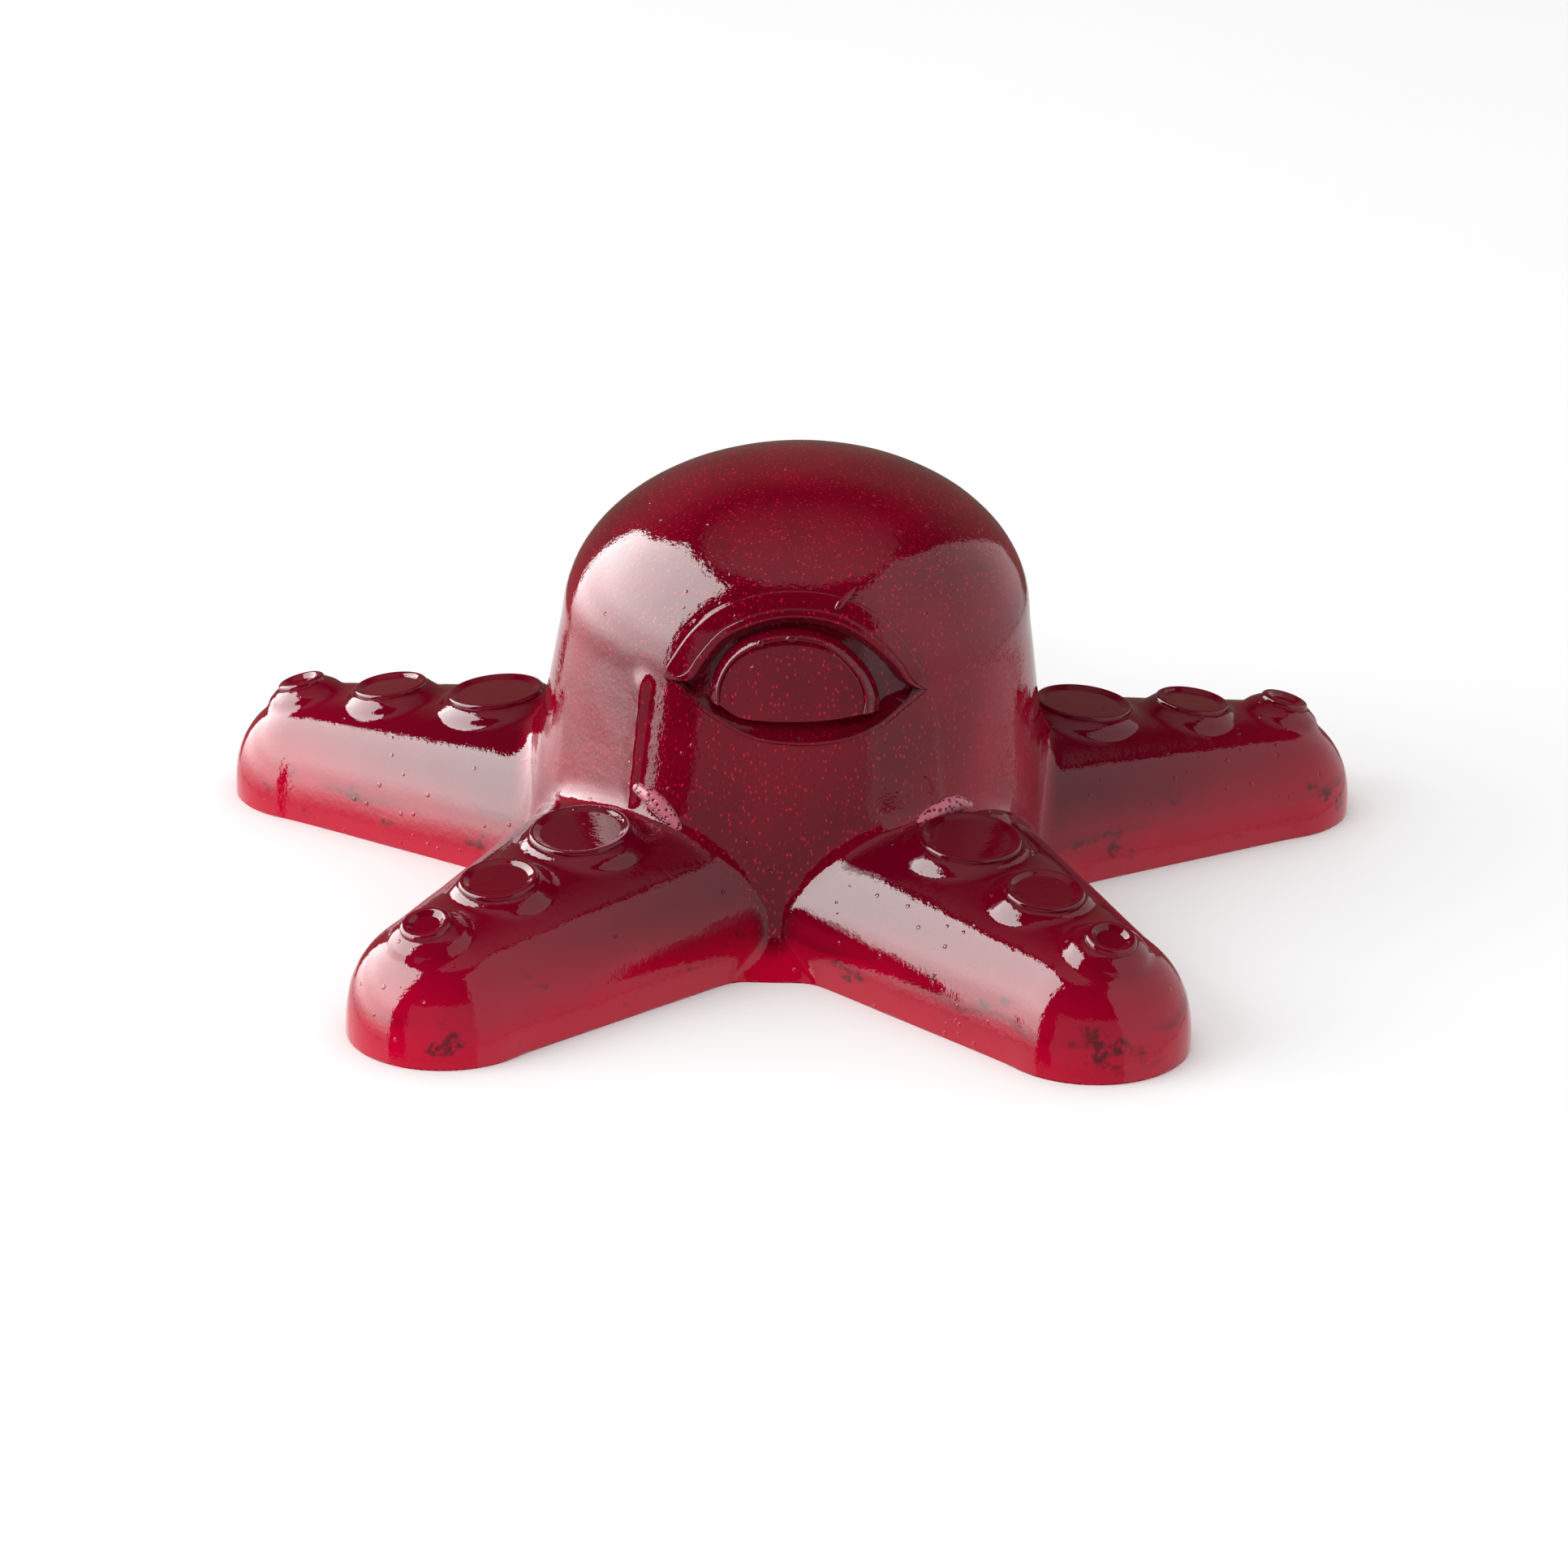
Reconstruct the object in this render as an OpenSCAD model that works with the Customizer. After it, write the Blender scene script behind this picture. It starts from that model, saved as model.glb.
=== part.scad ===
// One-eyed octopus figure, cast in clear red soft plastic and bonded from separate castings.
// A bell-shaped mantle stands in the middle, and five arms lie round it on flat soles.
// Each arm is coped to the mantle, keyed to it by a round tenon, and carries three suckers.
// The eye is four castings bonded into a shallow almond recess in the front of the mantle.
// Frame: millimetres, +Z up, the eye looks along -Y, origin on the mantle's axis at the sole.

/* [Mantle] */
// Height of the crown above the sole
mantle_h = 41.5; // [38:0.5:50]
// Radius at the shoulder, where the crown begins
shoulder_r = 22.6; // [21:0.2:26]
// Height of the shoulder above the sole
shoulder_z = 26; // [24:0.5:30]
// Radius of the skirt just above the flare
skirt_r = 25.4; // [24:0.2:28]
// Height at which the flare runs out into the skirt
flare_z = 9; // [6:0.5:12]
// Radius in plan of the web that rounds the corner between two arms
web_r = 11.8; // [6:0.2:14]
// Height of the web's upright edge
web_edge_h = 3; // [1.5:0.5:4]

/* [Arms] */
// Distance from the mantle's axis to an arm's tip
arm_reach = 59; // [52:0.5:75]
// Full width that an arm's tapering sides reach at the axis
arm_root_w = 41.2; // [36:0.2:44]
// Radius of the round tip in plan
arm_tip_r = 9.2; // [7:0.1:11]
// Height that an arm's top line reaches at the axis
arm_root_h = 15; // [13:0.5:18]
// Height of an arm's top line at the tip
arm_tip_h = 9.6; // [8:0.2:12]
// Fullness of the arm's arched section, where 2 is an ellipse
arm_fullness = 2.4; // [2:0.1:3.5]

/* [Tenons] */
// Radius of the round tenon that keys each arm to the mantle
tenon_r = 4; // [3:0.25:5]
// Height of the tenon's axis above the sole
tenon_z = 6.5; // [5.5:0.5:7.5]
// Distance from the mantle's axis to the tenon's inner end
tenon_end = 17; // [14:0.5:20]

/* [Suckers] */
// Distance of each sucker from the mantle's axis: inner, middle, outer
sucker_at = [31.2, 42.2, 51.8]; // [28:0.1:70]
// Radius of each sucker's rim
sucker_rim_r = [4.7, 3.5, 2.5]; // [2:0.1:6]
// Radius of each sucker's foot
sucker_foot_r = [5.7, 4.5, 3.4]; // [3:0.1:7]
// Height of each rim above the arm
sucker_rise = [1.7, 1.5, 1.3]; // [0.8:0.1:2.5]
// Outward lean of each sucker in degrees
sucker_lean = [6, 7, 15]; // [0:1:25]
// Depth of each sucker's seat in the arm
sucker_seat = 1.6; // [1.2:0.1:2.5]
// Thickness of the floor under the dished middle
sucker_floor = 1.5; // [1:0.1:2.2]
// Width of the rounded rim
sucker_rim_w = 1.1; // [0.8:0.1:1.5]

/* [Eye] */
// Height of the eye's corners above the sole
eye_z = 25; // [22:0.5:27]
// Upward tilt of the eye in degrees
eye_tilt = 12; // [5:1:20]
// Distance from the eye's middle to each corner
eye_half_w = 12.2; // [11:0.1:14]
// Height of the upper lid's arch over the corners
eye_up = 9.6; // [9:0.1:11]
// Depth of the lower lid under the corners
eye_down = 4; // [3:0.5:5]
// Depth of the almond recess
eye_recess = 1.2; // [0.8:0.1:2]
// Width of the upper lid at the top of its arch
lid_w = 2.2; // [1.5:0.1:2.6]
// Width of the upper lid at its corners
lid_corner_w = 2.4; // [1.6:0.1:2.6]
// Height of the upper lid over the mantle
lid_rise = 0.6; // [0.3:0.1:1.2]
// Width of the lower lid at its middle
lower_lid_w = 1; // [0.6:0.1:1.4]
// Height of the lower lid over the mantle
lower_lid_rise = 0.2; // [0.1:0.1:0.6]
// Radius of the iris, of which the lower part is cut off straight
iris_r = 6; // [5:0.1:6]
// Depth of the iris's lower edge under the eye's corners
iris_down = 1.6; // [1:0.1:2]
// Width of the ring round the iris
iris_ring_w = 1.2; // [0.8:0.1:1.3]
// Depth of the ring's face under the mantle
iris_ring_sink = 0.6; // [0.3:0.1:0.9]
// Depth of the iris's face under the mantle
iris_sink = 0.2; // [0:0.1:0.5]

/* [Fits] */
// Bond line left round every part that is glued in or on
bond_gap = 0.05; // [0.02:0.01:0.15]

/* [Hidden] */
ARMS = ["front_right", "right", "back", "left", "front_left"];
PLACES = ["inner", "middle", "outer"];
EYE_PARTS = ["upper_eyelid", "lower_eyelid", "iris_ring", "iris"];

arm_pitch = 360 / len(ARMS);
first_arm_angle = arm_pitch / 2;
body_colour = "crimson";
arm_colour = "firebrick";
sucker_colour = "darkred";
eye_colour = "brown";
$fn = 96;

// Share of its width that an arm's side loses for each millimetre along the arm
arm_side_slope = (arm_root_w / 2 - arm_tip_r) / (arm_reach - arm_tip_r);
arm_side_angle = atan(arm_side_slope);
// Distance from the axis at which two arms' sides would cross
crossing_r = arm_root_w / 2 / (tan(arm_pitch / 2) + arm_side_slope) / cos(arm_pitch / 2);
// The web is what a cylinder that touches both sides leaves: its axis, and how far it reaches
web_corner_angle = arm_pitch / 2 + arm_side_angle;
web_axis_r = crossing_r + web_r / sin(web_corner_angle);
web_run = web_r / tan(web_corner_angle);
foot_r = sqrt(
    pow(crossing_r * cos(arm_pitch / 2) + web_run * cos(arm_side_angle), 2)
    + pow(crossing_r * sin(arm_pitch / 2) - web_run * sin(arm_side_angle), 2)
);

// Points on each curved stretch of an outline
cap_steps = 18;
flare_steps = 5;
rim_steps = 8;
dish_steps = 6;
// Rings along an arm's straight stretch and round its tip, and points across its arch
arm_rings = 8;
tip_rings = 8;
arch_steps = 20;
// An arm's casting starts this far from the axis, well inside the mantle that copes it
arm_start = 10;
// Reach past a surface that a cutter or an overlap needs
past = 1;
far = 200;

function arc_between(n) = [for (i = [0:n]) 90 * i / n];

// Outline of the mantle from its axis to its crown, moved outwards by grow
function mantle_outline(grow) = concat(
    [[0, 0], [foot_r + grow, 0]],
    [for (a = arc_between(flare_steps)) [
        skirt_r + grow + (foot_r - skirt_r) * (1 - sin(a)),
        web_edge_h + (flare_z - web_edge_h) * (1 - cos(a))
    ]],
    [for (a = arc_between(cap_steps)) [
        (shoulder_r + grow) * cos(a),
        shoulder_z + (mantle_h - shoulder_z + grow) * sin(a)
    ]]
);

module mantle_solid(grow = 0) {
    rotate_extrude() polygon(mantle_outline(grow));
}

// The room between two arms, beyond the web that rounds their corner
module web_cut(i) {
    rotate([0, 0, first_arm_angle + (i - 0.5) * arm_pitch - 90])
        translate([web_axis_r, 0, -past])
            cylinder(r = web_r, h = flare_z + 2 * past);
}

// Turns an arm's own frame, with +X along the arm, to the arm's place round the mantle
module at_arm(i) {
    rotate([0, 0, first_arm_angle + i * arm_pitch - 90]) children();
}

// Half width and height of an arm, s from the axis
function taper(s) = min(1, s / (arm_reach - arm_tip_r));
function arm_half_w(s) = arm_root_w / 2 + (arm_tip_r - arm_root_w / 2) * taper(s);
function arm_top(s) = arm_root_h + (arm_tip_h - arm_root_h) * s / arm_reach;

// One point of an arched section: half width w, height h, at angle a round the arch
function arch_point(w, h, a) = [
    sign(cos(a)) * w * pow(abs(cos(a)), 2 / arm_fullness),
    h * pow(abs(sin(a)), 2 / arm_fullness)
];
function arch_ring(s, w, h) = [
    for (k = [0:arch_steps])
        let (p = arch_point(w, h, 180 * k / arch_steps)) [s, p.x, p.y]
];
function straight_ring(i) =
    let (s = arm_start + (arm_reach - arm_tip_r - arm_start) * i / arm_rings)
    arch_ring(s, arm_half_w(s), arm_top(s));
function tip_ring(i) =
    let (
        a = 90 * i / tip_rings,
        s = arm_reach - arm_tip_r * (1 - sin(a)),
        drop = pow(1 - pow(sin(a), arm_fullness), 1 / arm_fullness)
    )
    arch_ring(s, arm_tip_r * cos(a), arm_top(s) * drop);

// An arm before it is coped: arched rings swept from inside the mantle to the round tip
module arm_blank() {
    rings = concat(
        [for (i = [0:arm_rings]) straight_ring(i)],
        [for (i = [1:tip_rings - 1]) tip_ring(i)]
    );
    per_ring = arch_steps + 1;
    last = len(rings) - 1;
    tip = len(rings) * per_ring;
    points = concat([for (r = rings) each r], [[arm_reach, 0, 0]]);
    skin = [
        for (i = [0:last - 1]) for (k = [0:arch_steps - 1])
            let (a = i * per_ring + k, b = a + per_ring)
            each [[a, b, b + 1], [a, b + 1, a + 1]]
    ];
    sole = [
        for (i = [0:last - 1])
            let (a = i * per_ring, b = a + per_ring)
            [a + arch_steps, b + arch_steps, b, a]
    ];
    sole_end = [[last * per_ring + arch_steps, tip, last * per_ring]];
    end_cap = [for (k = [0:arch_steps - 1]) [last * per_ring + k + 1, last * per_ring + k, tip]];
    root = [for (k = [0:arch_steps]) k];
    polyhedron(points, concat(skin, end_cap, sole, sole_end, [root]), convexity = 4);
}

// The share of the circle that belongs to one arm, short of its neighbours by the bond line
module arm_sector() {
    half = arm_pitch / 2;
    intersection_for(side = [-1, 1])
        rotate([0, 0, side * half])
            translate([0, side > 0 ? -far : bond_gap / 2, -past])
                cube([far, far - bond_gap / 2, far]);
}

module tenon(grow = 0) {
    translate([tenon_end - grow, 0, tenon_z]) rotate([0, 90, 0])
        cylinder(r = tenon_r + grow, h = foot_r + past - tenon_end + grow);
}

// A sucker's frame: origin on the arm's top line, +Z along the sucker's axis
module at_sucker(k) {
    s = sucker_at[k];
    translate([s, 0, arm_top(s)]) rotate([0, sucker_lean[k], 0]) children();
}

module sucker_pocket(k) {
    at_sucker(k) translate([0, 0, -sucker_seat - bond_gap])
        cylinder(r = sucker_foot_r[k] + bond_gap, h = far);
}

module arm(i) {
    at_arm(i) color(arm_colour) difference() {
        union() {
            difference() {
                intersection() {
                    arm_blank();
                    arm_sector();
                }
                mantle_solid(bond_gap);
            }
            tenon();
        }
        for (k = [0:len(PLACES) - 1]) sucker_pocket(k);
    }
}

// Outline of a sucker: flat foot, flank drawn in to a round rim, dished middle
function sucker_outline(k) =
    let (
        rim = sucker_rim_w / 2,
        rim_c = [sucker_rim_r[k] - rim, sucker_rise[k] - rim],
        dish_r = rim_c.x - rim,
        floor_z = sucker_floor - sucker_seat
    )
    concat(
        [[0, -sucker_seat], [sucker_foot_r[k], -sucker_seat]],
        [for (a = arc_between(rim_steps)) [
            sucker_rim_r[k] + (sucker_foot_r[k] - sucker_rim_r[k]) * (1 - sin(a)),
            rim_c.y * (1 - cos(a))
        ]],
        [for (j = [1:rim_steps]) let (a = 180 * j / rim_steps) rim_c + rim * [cos(a), sin(a)]],
        [for (j = [1:dish_steps]) let (a = 90 * j / dish_steps)
            [dish_r * cos(a), rim_c.y + (floor_z - rim_c.y) * sin(a)]]
    );

module sucker(i, k) {
    at_arm(i) at_sucker(k) color(sucker_colour)
        rotate_extrude() polygon(sucker_outline(k));
}

// The eye's frame, on the front of the mantle at the height of the corners, +Z straight out of it
module at_eye() {
    translate([0, -shoulder_r, eye_z]) rotate([90 - eye_tilt, 0, 0]) children();
}

// A circle's segment on the line y = 0: half width w, height h upwards
module arch_segment(w, h, grow = 0) {
    r = (w * w + h * h) / (2 * h);
    intersection() {
        translate([0, h - r]) circle(r + grow);
        translate([-far / 2, 0]) square([far, far / 2]);
    }
}

module almond(grow = 0) {
    arch_segment(eye_half_w, eye_up, grow);
    mirror([0, 1]) arch_segment(eye_half_w, eye_down, grow);
}

// The part of an extruded outline that lies between two depths under the mantle's surface
module on_mantle(low, high) {
    intersection() {
        at_eye() linear_extrude(shoulder_r, center = true) children();
        difference() {
            mantle_solid(high);
            mantle_solid(low);
        }
    }
}

module mantle() {
    color(body_colour) difference() {
        mantle_solid();
        on_mantle(-eye_recess, past) almond(bond_gap);
        for (i = [0:len(ARMS) - 1]) {
            at_arm(i) tenon(bond_gap);
            web_cut(i);
        }
    }
}

module upper_eyelid() {
    color(eye_colour) on_mantle(-eye_recess + bond_gap, lid_rise) difference() {
        arch_segment(eye_half_w, eye_up);
        arch_segment(eye_half_w - lid_corner_w, eye_up - lid_w);
    }
}

module lower_eyelid() {
    color(eye_colour) on_mantle(-eye_recess + bond_gap, lower_lid_rise) mirror([0, 1]) difference() {
        arch_segment(eye_half_w, eye_down);
        translate([0, -bond_gap]) square([2 * far, 2 * bond_gap], center = true);
        arch_segment(eye_half_w - lower_lid_w, eye_down - lower_lid_w);
    }
}

// The disc of the iris, cut off below by the lower lid
module iris_outline(r) {
    intersection() {
        circle(r);
        translate([-far / 2, -iris_down]) square([far, far / 2]);
    }
}

module iris_ring() {
    color(eye_colour) on_mantle(-eye_recess + bond_gap, -iris_ring_sink) difference() {
        iris_outline(iris_r + iris_ring_w);
        circle(iris_r + bond_gap);
    }
}

module iris() {
    color(eye_colour) on_mantle(-eye_recess + bond_gap, -iris_sink) iris_outline(iris_r);
}

mantle();
for (i = [0:len(ARMS) - 1]) {
    arm(i);
    for (k = [0:len(PLACES) - 1])
        sucker(i, k);
}
upper_eyelid();
lower_eyelid();
iris_ring();
iris();
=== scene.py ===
"""Looks of a cast, clear red octopus figure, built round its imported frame.

The body and its arms are sculpted as one casting, so that their surfaces run into one another, and then
parted into the separate castings of the frame. The suckers, the pieces of the eye and the drops are
modelled one by one and seated on that casting. Modelling is done in millimetres; each finished piece is
brought to metres, with its place in its mesh.
"""

import logging
import math
from collections.abc import Callable, Iterator, Sequence
from contextlib import contextmanager
from dataclasses import dataclass, field
from enum import Enum

import bpy
import numpy as np
from mathutils import Matrix, Vector
from mathutils.bvhtree import BVHTree


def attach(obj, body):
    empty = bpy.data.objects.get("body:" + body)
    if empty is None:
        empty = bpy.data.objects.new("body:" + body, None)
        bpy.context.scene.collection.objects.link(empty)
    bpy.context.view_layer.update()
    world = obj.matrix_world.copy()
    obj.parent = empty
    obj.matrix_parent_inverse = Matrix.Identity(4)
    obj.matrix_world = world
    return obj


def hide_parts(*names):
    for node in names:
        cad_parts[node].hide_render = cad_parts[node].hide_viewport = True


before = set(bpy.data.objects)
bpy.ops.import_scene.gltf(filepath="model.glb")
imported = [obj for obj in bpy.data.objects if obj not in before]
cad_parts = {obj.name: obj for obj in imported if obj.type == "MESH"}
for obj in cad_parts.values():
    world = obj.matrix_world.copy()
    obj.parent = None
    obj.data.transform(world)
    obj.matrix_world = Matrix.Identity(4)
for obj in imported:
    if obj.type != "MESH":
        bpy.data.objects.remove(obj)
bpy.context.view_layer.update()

log = logging.getLogger("octopus")

MM = 0.001
BODY = "root"
ROUND_SIDES = 96
SMALL_SIDES = 48
CORNER_ANGLE = 50.0
Place3 = tuple[float, float, float]


# ---------------------------------------------------------------- names of the pieces


class Arm(Enum):
    """The arms, each with its direction in degrees from the front, -Y, towards +X."""

    FRONT_RIGHT = 36.0
    RIGHT = 108.0
    BACK = 180.0
    LEFT = 252.0
    FRONT_LEFT = 324.0

    @property
    def title(self) -> str:
        """The arm's name as the frame spells it."""
        return self.name.lower()

    @property
    def turn(self) -> float:
        """The turn about +Z, in radians, that brings +X to the arm's direction."""
        return math.radians(self.value - 90.0)


class Seat(Enum):
    """The places of the suckers along an arm."""

    INNER = 0
    MIDDLE = 1
    OUTER = 2

    @property
    def title(self) -> str:
        """The place's name as the frame spells it."""
        return self.name.lower()


class Slot(Enum):
    """The record's material slots."""

    SHIMMER = "shimmer_red"
    CLEAR = "clear_red"
    SUCKER = "sucker_red"
    EYE = "eye_red"


# ---------------------------------------------------------------- the bench: mesh tools


def deselect() -> None:
    """Leaves object mode with nothing selected."""
    if bpy.context.object and bpy.context.object.mode != "OBJECT":
        bpy.ops.object.mode_set(mode="OBJECT")
    bpy.ops.object.select_all(action="DESELECT")


def pick(*pieces: bpy.types.Object) -> bpy.types.Object:
    """Selects only these pieces and makes the first one active.

    Args:
        pieces: The pieces to select.

    Returns:
        The first piece.
    """
    deselect()
    for piece in pieces:
        piece.select_set(True)
    bpy.context.view_layer.objects.active = pieces[0]
    return pieces[0]


@contextmanager
def editing(piece: bpy.types.Object) -> Iterator[None]:
    """Opens a piece in edit mode with its whole mesh selected.

    Args:
        piece: The piece to edit.
    """
    pick(piece)
    bpy.ops.object.mode_set(mode="EDIT")
    bpy.ops.mesh.select_all(action="SELECT")
    yield
    bpy.ops.object.mode_set(mode="OBJECT")


def apply(piece: bpy.types.Object, kind: str, **settings: object) -> bpy.types.Object:
    """Adds a modifier to a piece and applies it.

    Args:
        piece: The piece to change.
        kind: The modifier's type.
        settings: The modifier's properties.

    Returns:
        The same piece.
    """
    pick(piece)
    modifier = piece.modifiers.new(kind.lower(), kind)
    for name, value in settings.items():
        setattr(modifier, name, value)
    bpy.ops.object.modifier_apply(modifier=modifier.name)
    return piece


def settle(piece: bpy.types.Object) -> bpy.types.Object:
    """Moves a piece's place, turn and size into its mesh."""
    pick(piece)
    bpy.ops.object.transform_apply(location=True, rotation=True, scale=True)
    return piece


def copy_of(piece: bpy.types.Object, name: str) -> bpy.types.Object:
    """A copy of a piece with its own mesh.

    Args:
        piece: The piece to copy.
        name: The copy's name.

    Returns:
        The copy.
    """
    pick(piece)
    bpy.ops.object.duplicate(linked=False)
    twin = bpy.context.active_object
    twin.name = name
    return twin


def joined(pieces: Sequence[bpy.types.Object], name: str) -> bpy.types.Object:
    """Joins pieces into one object.

    Args:
        pieces: The pieces, all of which go into the first.
        name: The joined object's name.

    Returns:
        The joined object.
    """
    pick(*pieces)
    if len(pieces) > 1:
        bpy.ops.object.join()
    pieces[0].name = name
    return pieces[0]


class Lie(Enum):
    """How the rings of a stacked form lie: the two axes of their plane."""

    FLAT = (0, 1)
    ACROSS = (1, 2)


@dataclass(frozen=True)
class Ring:
    """One ring of a stacked form: its centre and its half sizes in its own plane."""

    centre: Place3
    half: tuple[float, float]


def stack_rings(
    name: str, sides: int, rings: Sequence[Ring], lie: Lie = Lie.FLAT, fullness: float = 2.0
) -> bpy.types.Object:
    """Builds a closed form by extruding a filled circle from ring to ring.

    Args:
        name: The form's name.
        sides: Points round each ring.
        rings: The rings, from the first to the last.
        lie: How the rings lie.
        fullness: The superellipse exponent of the ring, where 2 is an ellipse.

    Returns:
        The form, at the origin.
    """
    deselect()
    turn = (0.0, 0.0, 0.0) if lie is Lie.FLAT else (0.0, math.pi / 2, 0.0)
    bpy.ops.mesh.primitive_circle_add(vertices=sides, radius=1.0, fill_type="NGON", rotation=turn)
    form = settle(bpy.context.active_object)
    form.name = name
    for vertex in form.data.vertices:
        for axis in lie.value:
            value = vertex.co[axis]
            vertex.co[axis] = math.copysign(abs(value) ** (2.0 / fullness), value)
    with editing(form):
        start = rings[0]
        bpy.ops.transform.translate(value=start.centre)
        bpy.ops.transform.resize(value=_spread(start.half, lie), center_override=start.centre)
        for before, after in zip(rings, rings[1:]):
            step = tuple(b - a for a, b in zip(before.centre, after.centre))
            bpy.ops.mesh.extrude_region_move(TRANSFORM_OT_translate={"value": step})
            ratio = tuple(b / a for a, b in zip(before.half, after.half))
            bpy.ops.transform.resize(value=_spread(ratio, lie), center_override=after.centre)
        bpy.ops.mesh.select_all(action="SELECT")
        bpy.ops.mesh.normals_make_consistent(inside=False)
    return form


def _spread(pair: tuple[float, float], lie: Lie) -> Place3:
    """The resize values that act in a ring's plane only."""
    return (pair[0], pair[1], 1.0) if lie is Lie.FLAT else (1.0, pair[0], pair[1])


def bisected(piece: bpy.types.Object, point: Place3, normal: Place3) -> bpy.types.Object:
    """Cuts a piece by a plane, keeps the side that the normal points to and closes the cut.

    Args:
        piece: The piece to cut.
        point: A point on the plane.
        normal: The plane's normal.

    Returns:
        The same piece.
    """
    with editing(piece):
        bpy.ops.mesh.bisect(plane_co=point, plane_no=normal, use_fill=True, clear_inner=True)
    return piece


def coordinates(piece: bpy.types.Object) -> np.ndarray:
    """The piece's points as an array of rows."""
    flat = np.empty(len(piece.data.vertices) * 3, np.float64)
    piece.data.vertices.foreach_get("co", flat)
    return flat.reshape(-1, 3)


def set_coordinates(piece: bpy.types.Object, rows: np.ndarray) -> None:
    """Gives a piece's points new places.

    Args:
        piece: The piece to change.
        rows: One row per point.
    """
    piece.data.vertices.foreach_set("co", rows.astype(np.float32).ravel())
    piece.data.update()


def roughened(piece: bpy.types.Object, size: float, height: float, name: str) -> bpy.types.Object:
    """Gives a surface the slow unevenness of a casting.

    Args:
        piece: The piece to change.
        size: The width of the swells, in millimetres.
        height: Their height, in millimetres.
        name: The texture's name.

    Returns:
        The same piece.
    """
    swell = bpy.data.textures.new(name, "CLOUDS")
    swell.noise_scale = size
    swell.noise_depth = 1
    return apply(piece, "DISPLACE", texture=swell, strength=height, mid_level=0.5, texture_coords="LOCAL")


def smoothed(piece: bpy.types.Object, corner: float | None = None) -> bpy.types.Object:
    """Shades a piece smooth.

    Args:
        piece: The piece to shade.
        corner: The angle in degrees past which an edge stays sharp, or none for smooth all over.

    Returns:
        The same piece.
    """
    pick(piece)
    if corner is None:
        bpy.ops.object.shade_smooth()
    else:
        bpy.ops.object.shade_smooth_by_angle(angle=math.radians(corner))
    return piece


# ---------------------------------------------------------------- the bench: shader tools


class Wire:
    """A shader socket that plain arithmetic can be done with."""

    def __init__(self, bench: "Bench", socket: bpy.types.NodeSocket) -> None:
        """Wraps one output socket of a bench's node."""
        self.bench = bench
        self.socket = socket

    def _math(self, operation: str, *values: "Wire | float") -> "Wire":
        """One Math node on these values."""
        node = self.bench.node("ShaderNodeMath", {"operation": operation}, dict(enumerate(values)))
        return Wire(self.bench, node.outputs[0])

    def __add__(self, other: "Wire | float") -> "Wire":
        """self + other."""
        return self._math("ADD", self, other)

    __radd__ = __add__

    def __sub__(self, other: "Wire | float") -> "Wire":
        """self - other."""
        return self._math("SUBTRACT", self, other)

    def __rsub__(self, other: "Wire | float") -> "Wire":
        """other - self."""
        return self._math("SUBTRACT", other, self)

    def __mul__(self, other: "Wire | float") -> "Wire":
        """self * other."""
        return self._math("MULTIPLY", self, other)

    __rmul__ = __mul__

    def __lt__(self, other: "Wire | float") -> "Wire":
        """1 where self is less than other."""
        return self._math("LESS_THAN", self, other)

    def __gt__(self, other: "Wire | float") -> "Wire":
        """1 where self is greater than other."""
        return self._math("GREATER_THAN", self, other)

    def root(self) -> "Wire":
        """The square root."""
        return self._math("SQRT", self)

    def ramp(self, low: float, high: float, start: float = 0.0, end: float = 1.0) -> "Wire":
        """A smooth step from start at low to end at high."""
        inputs = {0: self, 1: low, 2: high, 3: start, 4: end}
        node = self.bench.node("ShaderNodeMapRange", {"interpolation_type": "SMOOTHSTEP"}, inputs)
        return Wire(self.bench, node.outputs[0])


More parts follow.
